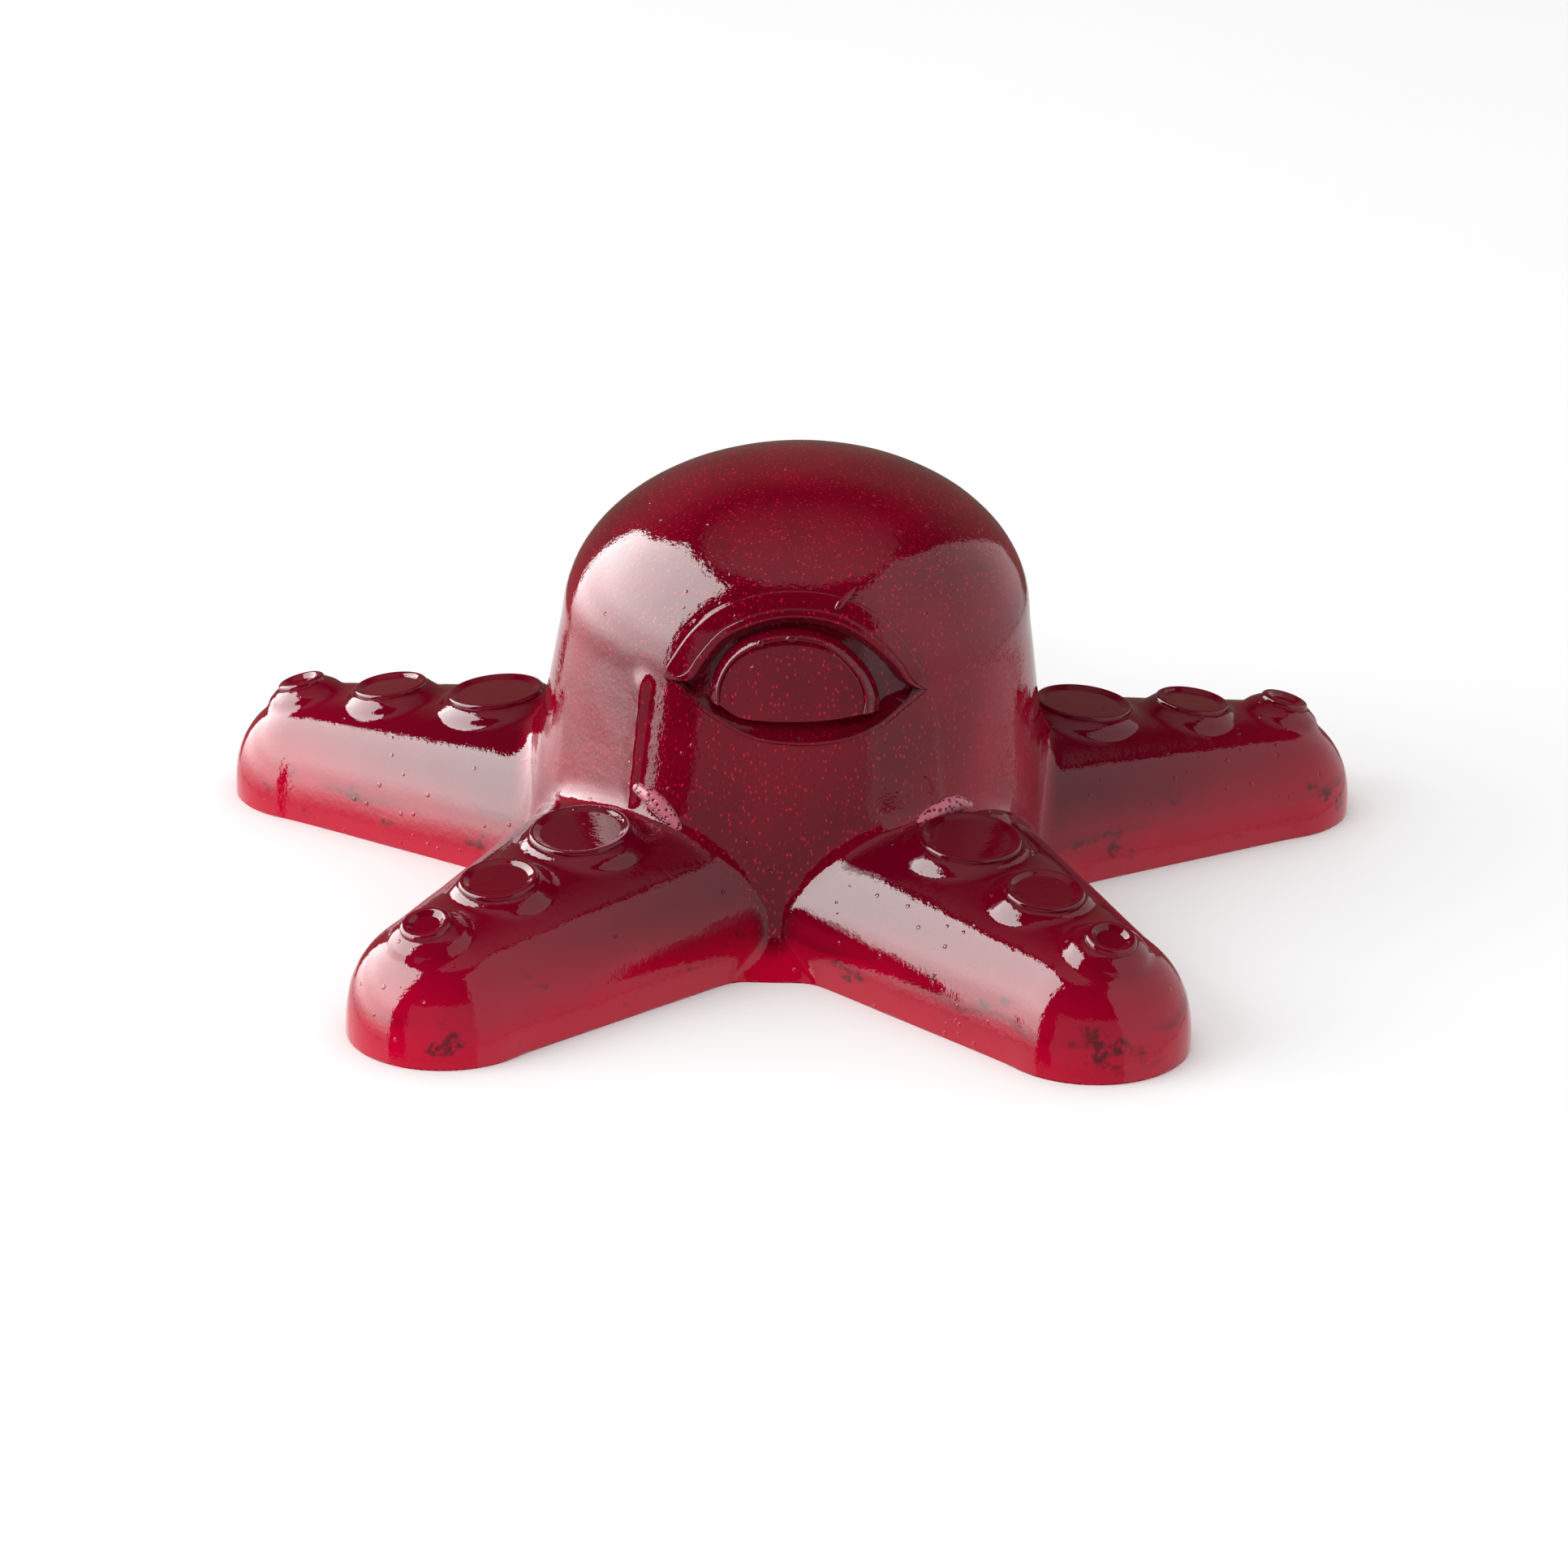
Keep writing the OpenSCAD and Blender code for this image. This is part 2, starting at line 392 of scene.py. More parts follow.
class Bench:
    """A new material and its nodes."""

    def __init__(self, name: str) -> None:
        """Starts a material of that name with its shader and its coordinates."""
        self.material = bpy.data.materials.new(name)
        self.material.use_nodes = True
        self.tree = self.material.node_tree
        self.shader = self.tree.nodes["Principled BSDF"]
        self.spot = Wire(self, self.node("ShaderNodeTexCoord").outputs["Object"])

    def node(self, kind: str, settings: dict | None = None, inputs: dict | None = None) -> bpy.types.Node:
        """Adds one node.

        Args:
            kind: The node's type.
            settings: Its properties, set first.
            inputs: Values or wires, by socket name or number.

        Returns:
            The node.
        """
        node = self.tree.nodes.new(kind)
        for name, value in (settings or {}).items():
            setattr(node, name, value)
        for key, value in (inputs or {}).items():
            self.feed(node.inputs[key], value)
        return node

    def feed(self, socket: bpy.types.NodeSocket, value: "Wire | float | Sequence[float]") -> None:
        """Gives a socket a wire or a constant.

        Args:
            socket: The socket.
            value: The wire or the constant.
        """
        if isinstance(value, Wire):
            self.tree.links.new(value.socket, socket)
        else:
            socket.default_value = value

    def noise(
        self, per_metre: float, detail: float = 2.0, at: "Wire | None" = None, roughness: float = 0.5
    ) -> Wire:
        """Soft noise.

        Args:
            per_metre: Its features to the metre.
            detail: Its finer layers.
            at: The coordinates, or none for the piece's own.
            roughness: The strength of the finer layers.

        Returns:
            A wire from 0 to 1.
        """
        inputs = {"Vector": at or self.spot, "Scale": per_metre, "Detail": detail, "Roughness": roughness}
        return Wire(self, self.node("ShaderNodeTexNoise", {}, inputs).outputs[0])

    def cells(self, per_metre: float, at: "Wire | None" = None) -> tuple[Wire, Wire]:
        """Scattered cells.

        Args:
            per_metre: Cells to the metre.
            at: The coordinates, or none for the piece's own.

        Returns:
            The distance from the nearest cell's middle, and that cell's own number from 0 to 1.
        """
        node = self.node("ShaderNodeTexVoronoi", {}, {"Vector": at or self.spot, "Scale": per_metre})
        lone = self.node("ShaderNodeSeparateColor", {}, {0: Wire(self, node.outputs["Color"])})
        return Wire(self, node.outputs["Distance"]), Wire(self, lone.outputs[0])

    def turned(self, turn: Place3, stretch: Place3) -> Wire:
        """The coordinates turned and stretched.

        Args:
            turn: The turn about each axis, in radians.
            stretch: The factor along each axis.

        Returns:
            The new coordinates.
        """
        inputs = {"Vector": self.spot, "Rotation": turn, "Scale": stretch}
        return Wire(self, self.node("ShaderNodeMapping", {"vector_type": "POINT"}, inputs).outputs[0])

    def blend(self, share: "Wire | float", first: object, second: object) -> Wire:
        """Mixes two colours.

        Args:
            share: The second colour's share, from 0 to 1.
            first: The first colour or wire.
            second: The second colour or wire.

        Returns:
            The mixed colour.
        """
        node = self.node("ShaderNodeMix", {"data_type": "RGBA"})
        self.feed(node.inputs["Factor"], share)
        colours = [socket for socket in node.inputs if socket.type == "RGBA"]
        for socket, value in zip(colours, (first, second)):
            self.feed(socket, value)
        return Wire(self, next(socket for socket in node.outputs if socket.type == "RGBA"))

    def tinted(self, colour: object, tint: object) -> Wire:
        """Multiplies two colours.

        Args:
            colour: A colour or wire.
            tint: What it is multiplied by.

        Returns:
            The tinted colour.
        """
        node = self.node("ShaderNodeVectorMath", {"operation": "MULTIPLY"}, {0: colour})
        self.feed(node.inputs[1], tint if isinstance(tint, Wire) else tint[:3])
        return Wire(self, node.outputs[0])

    def axes(self) -> list[Wire]:
        """The three coordinates, in metres."""
        node = self.node("ShaderNodeSeparateXYZ", {}, {0: self.spot})
        return [Wire(self, output) for output in node.outputs]

    def place(self) -> tuple[Wire, Wire, Wire]:
        """Where a point is, in metres: to the side, above the sole, and out from the mantle's axis."""
        x, y, z = self.axes()
        return x, z, (x * x + y * y).root()

    def relief(self, metres: Wire) -> None:
        """Feeds the shader's normal.

        Args:
            metres: The relief, in metres.
        """
        bump = self.node("ShaderNodeBump", {}, {"Strength": 1.0, "Distance": 1.0, "Height": metres})
        self.feed(self.shader.inputs["Normal"], Wire(self, bump.outputs[0]))

    def shade(self, **values: object) -> bpy.types.Material:
        """Sets the shader's sockets.

        Args:
            values: A constant or wire for each socket, named with underscores for its spaces.

        Returns:
            The material.
        """
        for name, value in values.items():
            self.feed(self.shader.inputs[name.replace("_", " ")], value)
        return self.material


# ---------------------------------------------------------------- finishes

Colour = tuple[float, float, float, float]
WHITE: Colour = (1.0, 1.0, 1.0, 1.0)
BLACK: Colour = (0.0, 0.0, 0.0, 1.0)


@dataclass(frozen=True)
class Gloss:
    """What all the castings share: a wet-looking surface with fine orange peel, pinholes and blisters.

    Heights and depths are in metres, and what is named per metre is a count of features.
    """

    roughness: float = 0.03
    ior: float = 1.46
    peel_per_metre: float = 2300.0
    peel_height: float = 14e-6
    ripple_per_metre: float = 900.0
    ripple_height: float = 16e-6
    swell_per_metre: float = 300.0
    swell_height: float = 26e-6
    pinholes_per_metre: float = 430.0
    pinhole_from: float = 0.75
    pinhole_depth: float = 7e-5
    blisters_per_metre: float = 800.0
    blister_from: float = 0.6
    blister_height: float = 4.5e-5
    patches_per_metre: float = 70.0

    def surface(self, bench: Bench) -> Wire:
        """The relief of the surface, in metres.

        Args:
            bench: The material's bench.

        Returns:
            The relief.
        """
        peel = bench.noise(self.peel_per_metre, roughness=0.6) * self.peel_height
        ripple = bench.noise(self.ripple_per_metre) * self.ripple_height
        swell = bench.noise(self.swell_per_metre, 1.0) * self.swell_height
        distance, lot = bench.cells(self.pinholes_per_metre)
        pinholes = distance.ramp(0.05, 0.10, -1.0, 0.0) * (lot > self.pinhole_from) * self.pinhole_depth
        distance, lot = bench.cells(self.blisters_per_metre)
        patches = bench.noise(self.patches_per_metre).ramp(0.5, 0.6)
        blisters = distance.ramp(0.10, 0.2, 1.0, 0.0) * (lot > self.blister_from) * patches
        blisters = blisters * self.blister_height
        return peel + ripple + swell + pinholes + blisters


@dataclass(frozen=True)
class CastRed:
    """Clear red casting: wine with bright flakes in the mantle, clear and glowing low down in the arms.

    The glow low in the arms is painted light let through from below, and the darker red low in the mantle,
    high on the arms and near their roots is painted shade. The mantle's sides carry painted light, and the
    left arms are painted lighter and the right ones darker, as the light falls from the left.
    The colour follows the place, so that it runs on from one piece into the next. Places are in metres:
    `skirt` is the mantle's radius at the sole, `slope` how fast it narrows, `flank` where its sides with
    their painted light begin and end, `band` the heights of a painted dark refraction line low in the arms,
    and
    `span` the figure's two sides, across which the painted side light and shade change.
    """

    name: str = "cast_red"
    # The shade factor, below 1, darkens the whole colour as painted shade.
    shade: float = 1.0
    flake_share: float = 1.0
    deep: Colour = (0.105, 0.0, 0.007, 1.0)
    light: Colour = (0.165, 0.0, 0.011, 1.0)
    flake: Colour = (0.50, 0.003, 0.03, 1.0)
    # The dark red is painted shade where the casting is thickest and in shade, the mid tone lies between, and
    # the bright red is a painted glow where light comes through from below.
    painted_shade_red: Colour = (0.10, 0.0, 0.007, 1.0)
    middle: Colour = (0.25, 0.0, 0.014, 1.0)
    glow: Colour = (0.45, 0.0, 0.022, 1.0)
    blotch: Colour = (0.05, 0.002, 0.007, 1.0)
    # Painted light on the mantle's sides.
    side_painted_light_tint: Colour = (1.85, 1.0, 1.8, 1.0)
    # Painted light and shade: the left arms lighter, the right ones darker, as the light falls from the left.
    left_painted_light_tint: Colour = (1.2, 1.3, 1.3, 1.0)
    right_painted_shade_tint: Colour = (0.95, 1.0, 1.0, 1.0)
    flakes_per_metre: float = 2200.0
    flake_turns: tuple[float, ...] = (0.4, 1.5, 2.6)
    flake_stretch: float = 0.55
    skirt: float = 0.0268
    slope: float = 0.158
    flank: tuple[float, float] = (0.004, 0.021)
    # The painted glow ends at the first height below; the band is a painted dark refraction line.
    painted_glow_top: float = 0.0085
    wander: float = 0.003
    band: tuple[float, float, float] = (0.0036, 0.0041, 0.0052)
    span: tuple[float, float] = (-0.052, 0.04)
    gloss: Gloss = field(default_factory=Gloss)

    def _mantle(self, bench: Bench, height: Wire, side: Wire) -> Wire:
        """The mantle's wine red with its flakes, with painted shade low down where it is thickest and painted
        light on its sides.

        Args:
            bench: The material's bench.
            height: The height above the sole.
            side: The distance to the right of the middle.

        Returns:
            The colour.
        """
        cloud = bench.noise(80.0, 3.0).ramp(0.3, 0.7)
        # A random cloudy tone, with less of the lighter tone low down, so darker towards the sole.
        base = bench.blend(cloud * height.ramp(0.004, 0.016, 0.2, 1.0), self.deep, self.light)
        # Painted shade: darker towards the sole, where the casting is thickest and in its own shade.
        base = bench.blend(height.ramp(0.004, 0.014, 0.55, 0.0), base, self.painted_shade_red)
        # Painted light: the mantle's sides, below the crown, are brightened.
        sides = (side * side).ramp(self.flank[0] ** 2, self.flank[1] ** 2)
        sides = sides * height.ramp(0.026, 0.037, 1.0, 0.0)
        base = bench.tinted(base, bench.blend(sides, WHITE, self.side_painted_light_tint))
        for turn in self.flake_turns:
            at = bench.turned((turn, 0.7 * turn, turn), (1.0, 1.0, self.flake_stretch))
            distance, lot = bench.cells(self.flakes_per_metre, at)
            shine = distance.ramp(0.12, 0.26, 1.0, 0.0) * lot.ramp(0.35, 0.95) * self.flake_share
            base = bench.blend(shine, base, self.flake)
        return base

    def _arms(self, bench: Bench, height: Wire, reach: Wire, side: Wire) -> Wire:
        """The arms' clear red, with a painted glow low down where it is thin and lit through, and painted
        shade higher up and near the mantle.

        Args:
            bench: The material's bench.
            height: The height above the sole.
            reach: The distance from the mantle's axis.
            side: The distance to the right of the middle.

        Returns:
            The colour.
        """
        level = height + (bench.noise(130.0, 3.0) - 0.5) * self.wander
        # Painted shade: darker near the mantle, and high up on the arm.
        upper = bench.blend(reach.ramp(0.026, 0.058), self.painted_shade_red, self.middle)
        upper = bench.blend(height.ramp(0.006, 0.0125) * 0.8, upper, self.painted_shade_red)
        # Painted glow low down, where light comes through from below.
        base = bench.blend(level.ramp(0.0, self.painted_glow_top, 1.0, 0.0), upper, self.glow)
        patchy = bench.noise(60.0).ramp(0.48, 0.62)
        foot, crest, head = self.band
        # A painted dark refraction line low in the arm.
        line = level.ramp(foot, crest) * level.ramp(crest, head, 1.0, 0.0) * patchy
        base = bench.blend(line * 0.45, base, self.painted_shade_red)
        grain = bench.noise(1400.0).ramp(0.35, 0.6)
        cloud = bench.noise(210.0, 2.0, bench.turned((0.2, 0.1, 0.5), (1.0, 1.0, 1.7))).ramp(0.60, 0.67)
        low = height.ramp(0.0005, 0.002) * height.ramp(0.0045, 0.0085, 1.0, 0.0)
        base = bench.blend(cloud * low * grain * 0.8, base, self.blotch)
        # Painted light and shade: the left arms lighter, the right ones darker, as the light falls from the
        # left.
        return bench.tinted(base, bench.blend(side.ramp(*self.span), self.left_painted_light_tint, self.right_painted_shade_tint))

    def material(self) -> bpy.types.Material:
        """Builds the material."""
        bench = Bench(self.name)
        side, height, reach = bench.place()
        outside = reach + height * self.slope - self.skirt
        mantle = self._mantle(bench, height, side)
        arms = self._arms(bench, height, reach, side)
        base = bench.blend(outside.ramp(0.0002, 0.0016), mantle, arms)
        # Below 1, the shade factor paints shade over the whole colour.
        base = bench.tinted(base, (self.shade, self.shade, self.shade, 1.0))
        bench.relief(self.gloss.surface(bench))
        return bench.shade(Base_Color=base, Roughness=self.gloss.roughness, IOR=self.gloss.ior)


@dataclass(frozen=True)
class FrothRed:
    """Pale pink froth that set in the casting, full of small holes of some depth in metres."""

    name: str = "froth"
    pale: Colour = (0.50, 0.13, 0.18, 1.0)
    hole: Colour = (0.11, 0.0, 0.01, 1.0)
    holes_per_metre: float = 2300.0
    depth: float = 1.2e-4
    roughness: float = 0.08
    ior: float = 1.46

    def material(self) -> bpy.types.Material:
        """Builds the material."""
        bench = Bench(self.name)
        wall = bench.cells(self.holes_per_metre)[0].ramp(0.22, 0.42)
        base = bench.blend(wall, self.hole, self.pale)
        bench.relief(wall * self.depth)
        return bench.shade(Base_Color=base, Roughness=self.roughness, IOR=self.ior)


# ---------------------------------------------------------------- the casting


@dataclass
class MantleForm:
    """The bell in the middle: a leaning cone with a round crown, its ridges and its web.

    Lengths are in millimetres, `lean` is the shift to the side per millimetre of height, `web_fall` how
    fast the web narrows with height, and `cap` the crown's first and last angle in degrees.
    """

    skirt: float = 26.7
    shoulder: float = 22.6
    shoulder_at: float = 26.0
    crown: float = 41.5
    lean: float = 0.036
    below: float = -6.0
    wall_rings: int = 10
    cap: tuple[float, float] = (6.0, 89.0)
    cap_rings: int = 22
    ridge_foot: float = 27.0
    ridge_head: float = 23.1
    ridge_heights: tuple[float, float] = (2.0, 26.0)
    ridge_round: float = 0.5
    web: float = 29.8
    web_fall: float = 1.15
    web_heights: tuple[float, ...] = (0.0, 1.0, 2.0, 3.0, 4.0, 6.0)

    def centre(self, z: float) -> Place3:
        """The middle of the bell at a height."""
        return (self.lean * z, 0.0, z)

    def bell(self) -> bpy.types.Object:
        """The bell itself."""
        rings = [Ring(self.centre(z), (r, r)) for z, r in self._profile()]
        return stack_rings("bell", ROUND_SIDES, rings)

    def _profile(self) -> list[tuple[float, float]]:
        """Heights and radii from under the sole to the crown."""
        slope = (self.shoulder - self.skirt) / self.shoulder_at
        heights = np.linspace(self.below, self.shoulder_at, self.wall_rings)
        walls = [(z, self.skirt + slope * z) for z in heights]
        rise = self.crown - self.shoulder_at
        angles = np.radians(np.linspace(*self.cap, self.cap_rings))
        cap = [(self.shoulder_at + rise * math.sin(a), self.shoulder * math.cos(a)) for a in angles]
        return [(float(z), float(r)) for z, r in walls + cap]

    def ridges(self) -> bpy.types.Object:
        """The five upright ridges over the arms."""
        foot, head = self.ridge_heights
        deselect()
        bpy.ops.mesh.primitive_cone_add(
            vertices=len(Arm), radius1=self.ridge_foot, radius2=self.ridge_head, depth=head - foot,
            location=self.centre(0.5 * (foot + head)),
        )
        form = settle(bpy.context.active_object)
        form.name = "ridges"
        with editing(form):
            bpy.ops.mesh.bevel(offset=self.ridge_round, segments=2, affect="EDGES")
        return form

    def skirt_web(self) -> bpy.types.Object:
        """The low web that fills the corners between the arms."""
        heights = (self.below, *self.web_heights)
        radii = [self.web - self.web_fall * max(z, 0.0) for z in heights]
        rings = [Ring((0.0, 0.0, z), (r, r)) for z, r in zip(heights, radii)]
        return stack_rings("web", ROUND_SIDES, rings)


@dataclass
class ArmForm:
    """A tapering arm of arched section with a round tip, lying on its sole.

    Lengths are in millimetres, `fullness` is the section's superellipse exponent, the two bends say how
    the width and the height fall along the arm, and `tip` is the tip's first and last angle in degrees.
    """

    start: float = 8.0
    reach: float = 59.0
    tip_radius: float = 9.2
    root_width: float = 20.7
    root_height: float = 15.0
    tip_height: float = 9.6
    fullness: float = 2.43
    width_bend: float = 0.92
    height_bend: float = 1.07
    straight_rings: int = 16
    tip: tuple[float, float] = (8.0, 86.0)
    tip_rings: int = 14

    def half_width(self, along: float) -> float:
        """Half the arm's width at a distance from the axis."""
        share = min(1.0, along / (self.reach - self.tip_radius))
        return self.root_width + (self.tip_radius - self.root_width) * share**self.width_bend

    def top(self, along: float) -> float:
        """The height of the arm's top line at a distance from the axis."""
        share = along / self.reach
        return self.root_height + (self.tip_height - self.root_height) * share**self.height_bend

    def sculpt(self, arm: Arm) -> bpy.types.Object:
        """Builds one arm.

        Args:
            arm: Which arm.

        Returns:
            The arm, turned to its place, with its lower half under the sole.
        """
        straight = np.linspace(self.start, self.reach - self.tip_radius, self.straight_rings)
        rings = [Ring((float(s), 0.0, 0.0), (self.half_width(s), self.top(s))) for s in straight]
        for angle in np.radians(np.linspace(*self.tip, self.tip_rings)):
            s = self.reach - self.tip_radius * (1.0 - math.sin(angle))
            drop = (1.0 - math.sin(angle) ** self.fullness) ** (1.0 / self.fullness)
            rings.append(Ring((s, 0.0, 0.0), (self.tip_radius * math.cos(angle), self.top(s) * drop)))
        form = stack_rings(f"arm_{arm.title}", SMALL_SIDES, rings, Lie.ACROSS, self.fullness)
        return turned_to(form, arm)


def turned_to(form: bpy.types.Object, arm: Arm) -> bpy.types.Object:
    """Turns a form that was built along +X to an arm's direction."""
    form.rotation_euler = (0.0, 0.0, arm.turn)
    return settle(form)


@dataclass
class SuckerForm:
    """One dished sucker and the mound that carries it, in its own frame.

    Lengths are in millimetres and `lean` in degrees. `stem` is the disc's buried part, as heights and how
    far inside the rim, `flank` the mound's, as heights and how far outside the foot, and `rim_turns` the
    angles of the rim's round lip.
    """

    arm: Arm
    seat: Seat
    along: float
    rim: float
    foot: float
    rise: float
    dish: float
    lean: float
    lip: float
    flank: tuple[tuple[float, float], ...] = ((-2.0, 0.5), (-0.7, 0.3), (0.0, 0.0))
    flank_shares: tuple[float, ...] = (0.25, 0.5, 0.75, 1.0)
    flank_bend: float = 0.55
    proud: float = 0.15
    stem: tuple[tuple[float, float], ...] = ((-1.6, 1.0), (-0.9, 0.3))
    rim_turns: tuple[float, ...] = (20.0, 50.0, 80.0, 110.0)
    dish_bend: float = 0.9
    dish_rings: int = 9

    @property
    def title(self) -> str:
        """The sucker's name as the frame spells it."""
        return f"sucker_{self.arm.title}_{self.seat.title}"

    def placed(self, form: bpy.types.Object, arms: ArmForm) -> bpy.types.Object:
        """Stands a form that was built on +Z on the arm's top line.

        Args:
            form: The form.
            arms: The arms' form.

        Returns:
            The same form.
        """
        form.rotation_euler = (0.0, math.radians(self.lean), 0.0)
        form.location = (self.along, 0.0, arms.top(self.along))
        settle(form)
        return turned_to(form, self.arm)

    def mound(self, arms: ArmForm) -> bpy.types.Object:
        """The flank that runs from the arm up to the sucker's rim.

        Args:
            arms: The arms' form.

        Returns:
            The mound.
        """
        rings = [Ring((0.0, 0.0, z), (self.foot + out, self.foot + out)) for z, out in self.flank]
        for share in self.flank_shares:
            radius = self.foot + (self.rim + self.proud - self.foot) * share**self.flank_bend
            rings.append(Ring((0.0, 0.0, (self.rise - self.lip) * share), (radius, radius)))
        return self.placed(stack_rings("mound", SMALL_SIDES, rings), arms)

    def cup(self, arms: ArmForm) -> bpy.types.Object:
        """The sucker itself: a disc with a round rim and a dished face.

        Args:
            arms: The arms' form.

        Returns:
            The sucker.
        """
        lip = self.lip
        profile = [(z, self.rim - inside) for z, inside in self.stem]
        profile.append((self.rise - 1.5 * lip, self.rim))
        for angle in np.radians(self.rim_turns):
            profile.append((self.rise - lip + lip * math.sin(angle), self.rim - lip + lip * math.cos(angle)))
        inner = self.rim - 1.45 * lip
        for share in np.linspace(0.94, 0.06, self.dish_rings):
            depth = self.dish * (1.0 - share**2) ** self.dish_bend
            profile.append((self.rise - 0.1 * lip - depth, inner * share))
        rings = [Ring((0.0, 0.0, float(z)), (float(r), float(r))) for z, r in profile]
        cup = stack_rings(f"{self.title}_cup", SMALL_SIDES, rings)
        apply(cup, "SUBSURF", levels=2, render_levels=2)
        return self.placed(cup, arms)


@dataclass
class Casting:
    """The whole figure as one skin, before it is parted.

    `coarse` and `fine` are the sizes of the two remeshes, `rubs` how often each is smoothed, and `swell`
    the width and height of the skin's slow unevenness, all lengths in millimetres.
    """

    mantle: MantleForm
    arms: ArmForm
    suckers: list[SuckerForm]
    coarse: float = 0.7
    fine: float = 0.36
    rubs: tuple[int, int] = (6, 7)
    swell: tuple[float, float] = (9.0, 0.10)

    def sculpt(self) -> bpy.types.Object:
        """Unites the forms, runs their surfaces into one another and adds what stays crisp.

        Returns:
            The casting, closed, on its flat sole, in millimetres.
        """
        soft = [self.mantle.bell(), self.mantle.skirt_web()]
        soft += [self.arms.sculpt(arm) for arm in Arm]
        body = joined(soft, "casting")
        apply(body, "REMESH", mode="VOXEL", voxel_size=self.coarse)
        apply(body, "SMOOTH", factor=0.5, iterations=self.rubs[0])
        crisp = [self.mantle.ridges()] + [sucker.mound(self.arms) for sucker in self.suckers]
        body = joined([body, *crisp], "casting")
        apply(body, "REMESH", mode="VOXEL", voxel_size=self.fine)
        apply(body, "SMOOTH", factor=0.5, iterations=self.rubs[1])
        roughened(body, *self.swell, "slow_swell")
        bisected(body, (0.0, 0.0, 0.0), (0.0, 0.0, 1.0))
        return smoothed(body, CORNER_ANGLE)


def with_normals_of(piece: bpy.types.Object, whole: bpy.types.Object) -> bpy.types.Object:
    """Gives a parted piece the normals of the whole skin, so that no seam shows.

    Args:
        piece: The parted piece.
        whole: The whole skin.

    Returns:
        The same piece.
    """
    return apply(
        piece, "DATA_TRANSFER", object=whole, use_loop_data=True, data_types_loops={"CUSTOM_NORMAL"},
        loop_mapping="POLYINTERP_NEAREST",
    )


@dataclass
class Parting:
    """The upright planes along which the casting is parted."""

    distance: float = 25.9

    def plane(self, arm: Arm) -> tuple[Place3, Vector]:
        """A point on an arm's plane and its outward normal."""
        out = Vector((math.cos(arm.turn), math.sin(arm.turn), 0.0))
        return tuple(out * self.distance), out

    def arm(self, casting: bpy.types.Object, arm: Arm) -> bpy.types.Object:
        """One arm, cut from the casting.

        Args:
            casting: The whole skin.
            arm: Which arm.

        Returns:
            The arm.
        """
        point, out = self.plane(arm)
        return bisected(copy_of(casting, f"arm_{arm.title}_casting"), point, tuple(out))

    def mantle(self, casting: bpy.types.Object) -> bpy.types.Object:
        """What is left when all the arms are cut off.

        Args:
            casting: The whole skin.

        Returns:
            The mantle.
        """
        piece = copy_of(casting, "mantle_casting")
        for arm in Arm:
            point, out = self.plane(arm)
            bisected(piece, point, tuple(-out))
        return piece


# ---------------------------------------------------------------- the eye


def smooth_through(points: Sequence[tuple[float, float]], shares: np.ndarray) -> np.ndarray:
    """Points along a smooth curve.

    Args:
        points: Given points that the curve passes through.
        shares: Where along the curve, from 0 to 1.

    Returns:
        One row for each share.
    """
    rows = np.array(points, float)
    steps = np.hypot(*np.diff(rows, axis=0).T)
    knots = np.concatenate(([0.0], np.cumsum(steps))) / steps.sum()
    slopes = np.gradient(rows, knots, axis=0)
    at = np.clip(np.searchsorted(knots, shares, side="right") - 1, 0, len(knots) - 2)
    gap = (knots[at + 1] - knots[at])[:, None]
    x = (shares[:, None] - knots[at][:, None]) / gap
    start, end = rows[at], rows[at + 1]
    return (
        (2 * x**3 - 3 * x**2 + 1) * start + (x**3 - 2 * x**2 + x) * gap * slopes[at]
        + (3 * x**2 - 2 * x**3) * end + (x**3 - x**2) * gap * slopes[at + 1]
    )


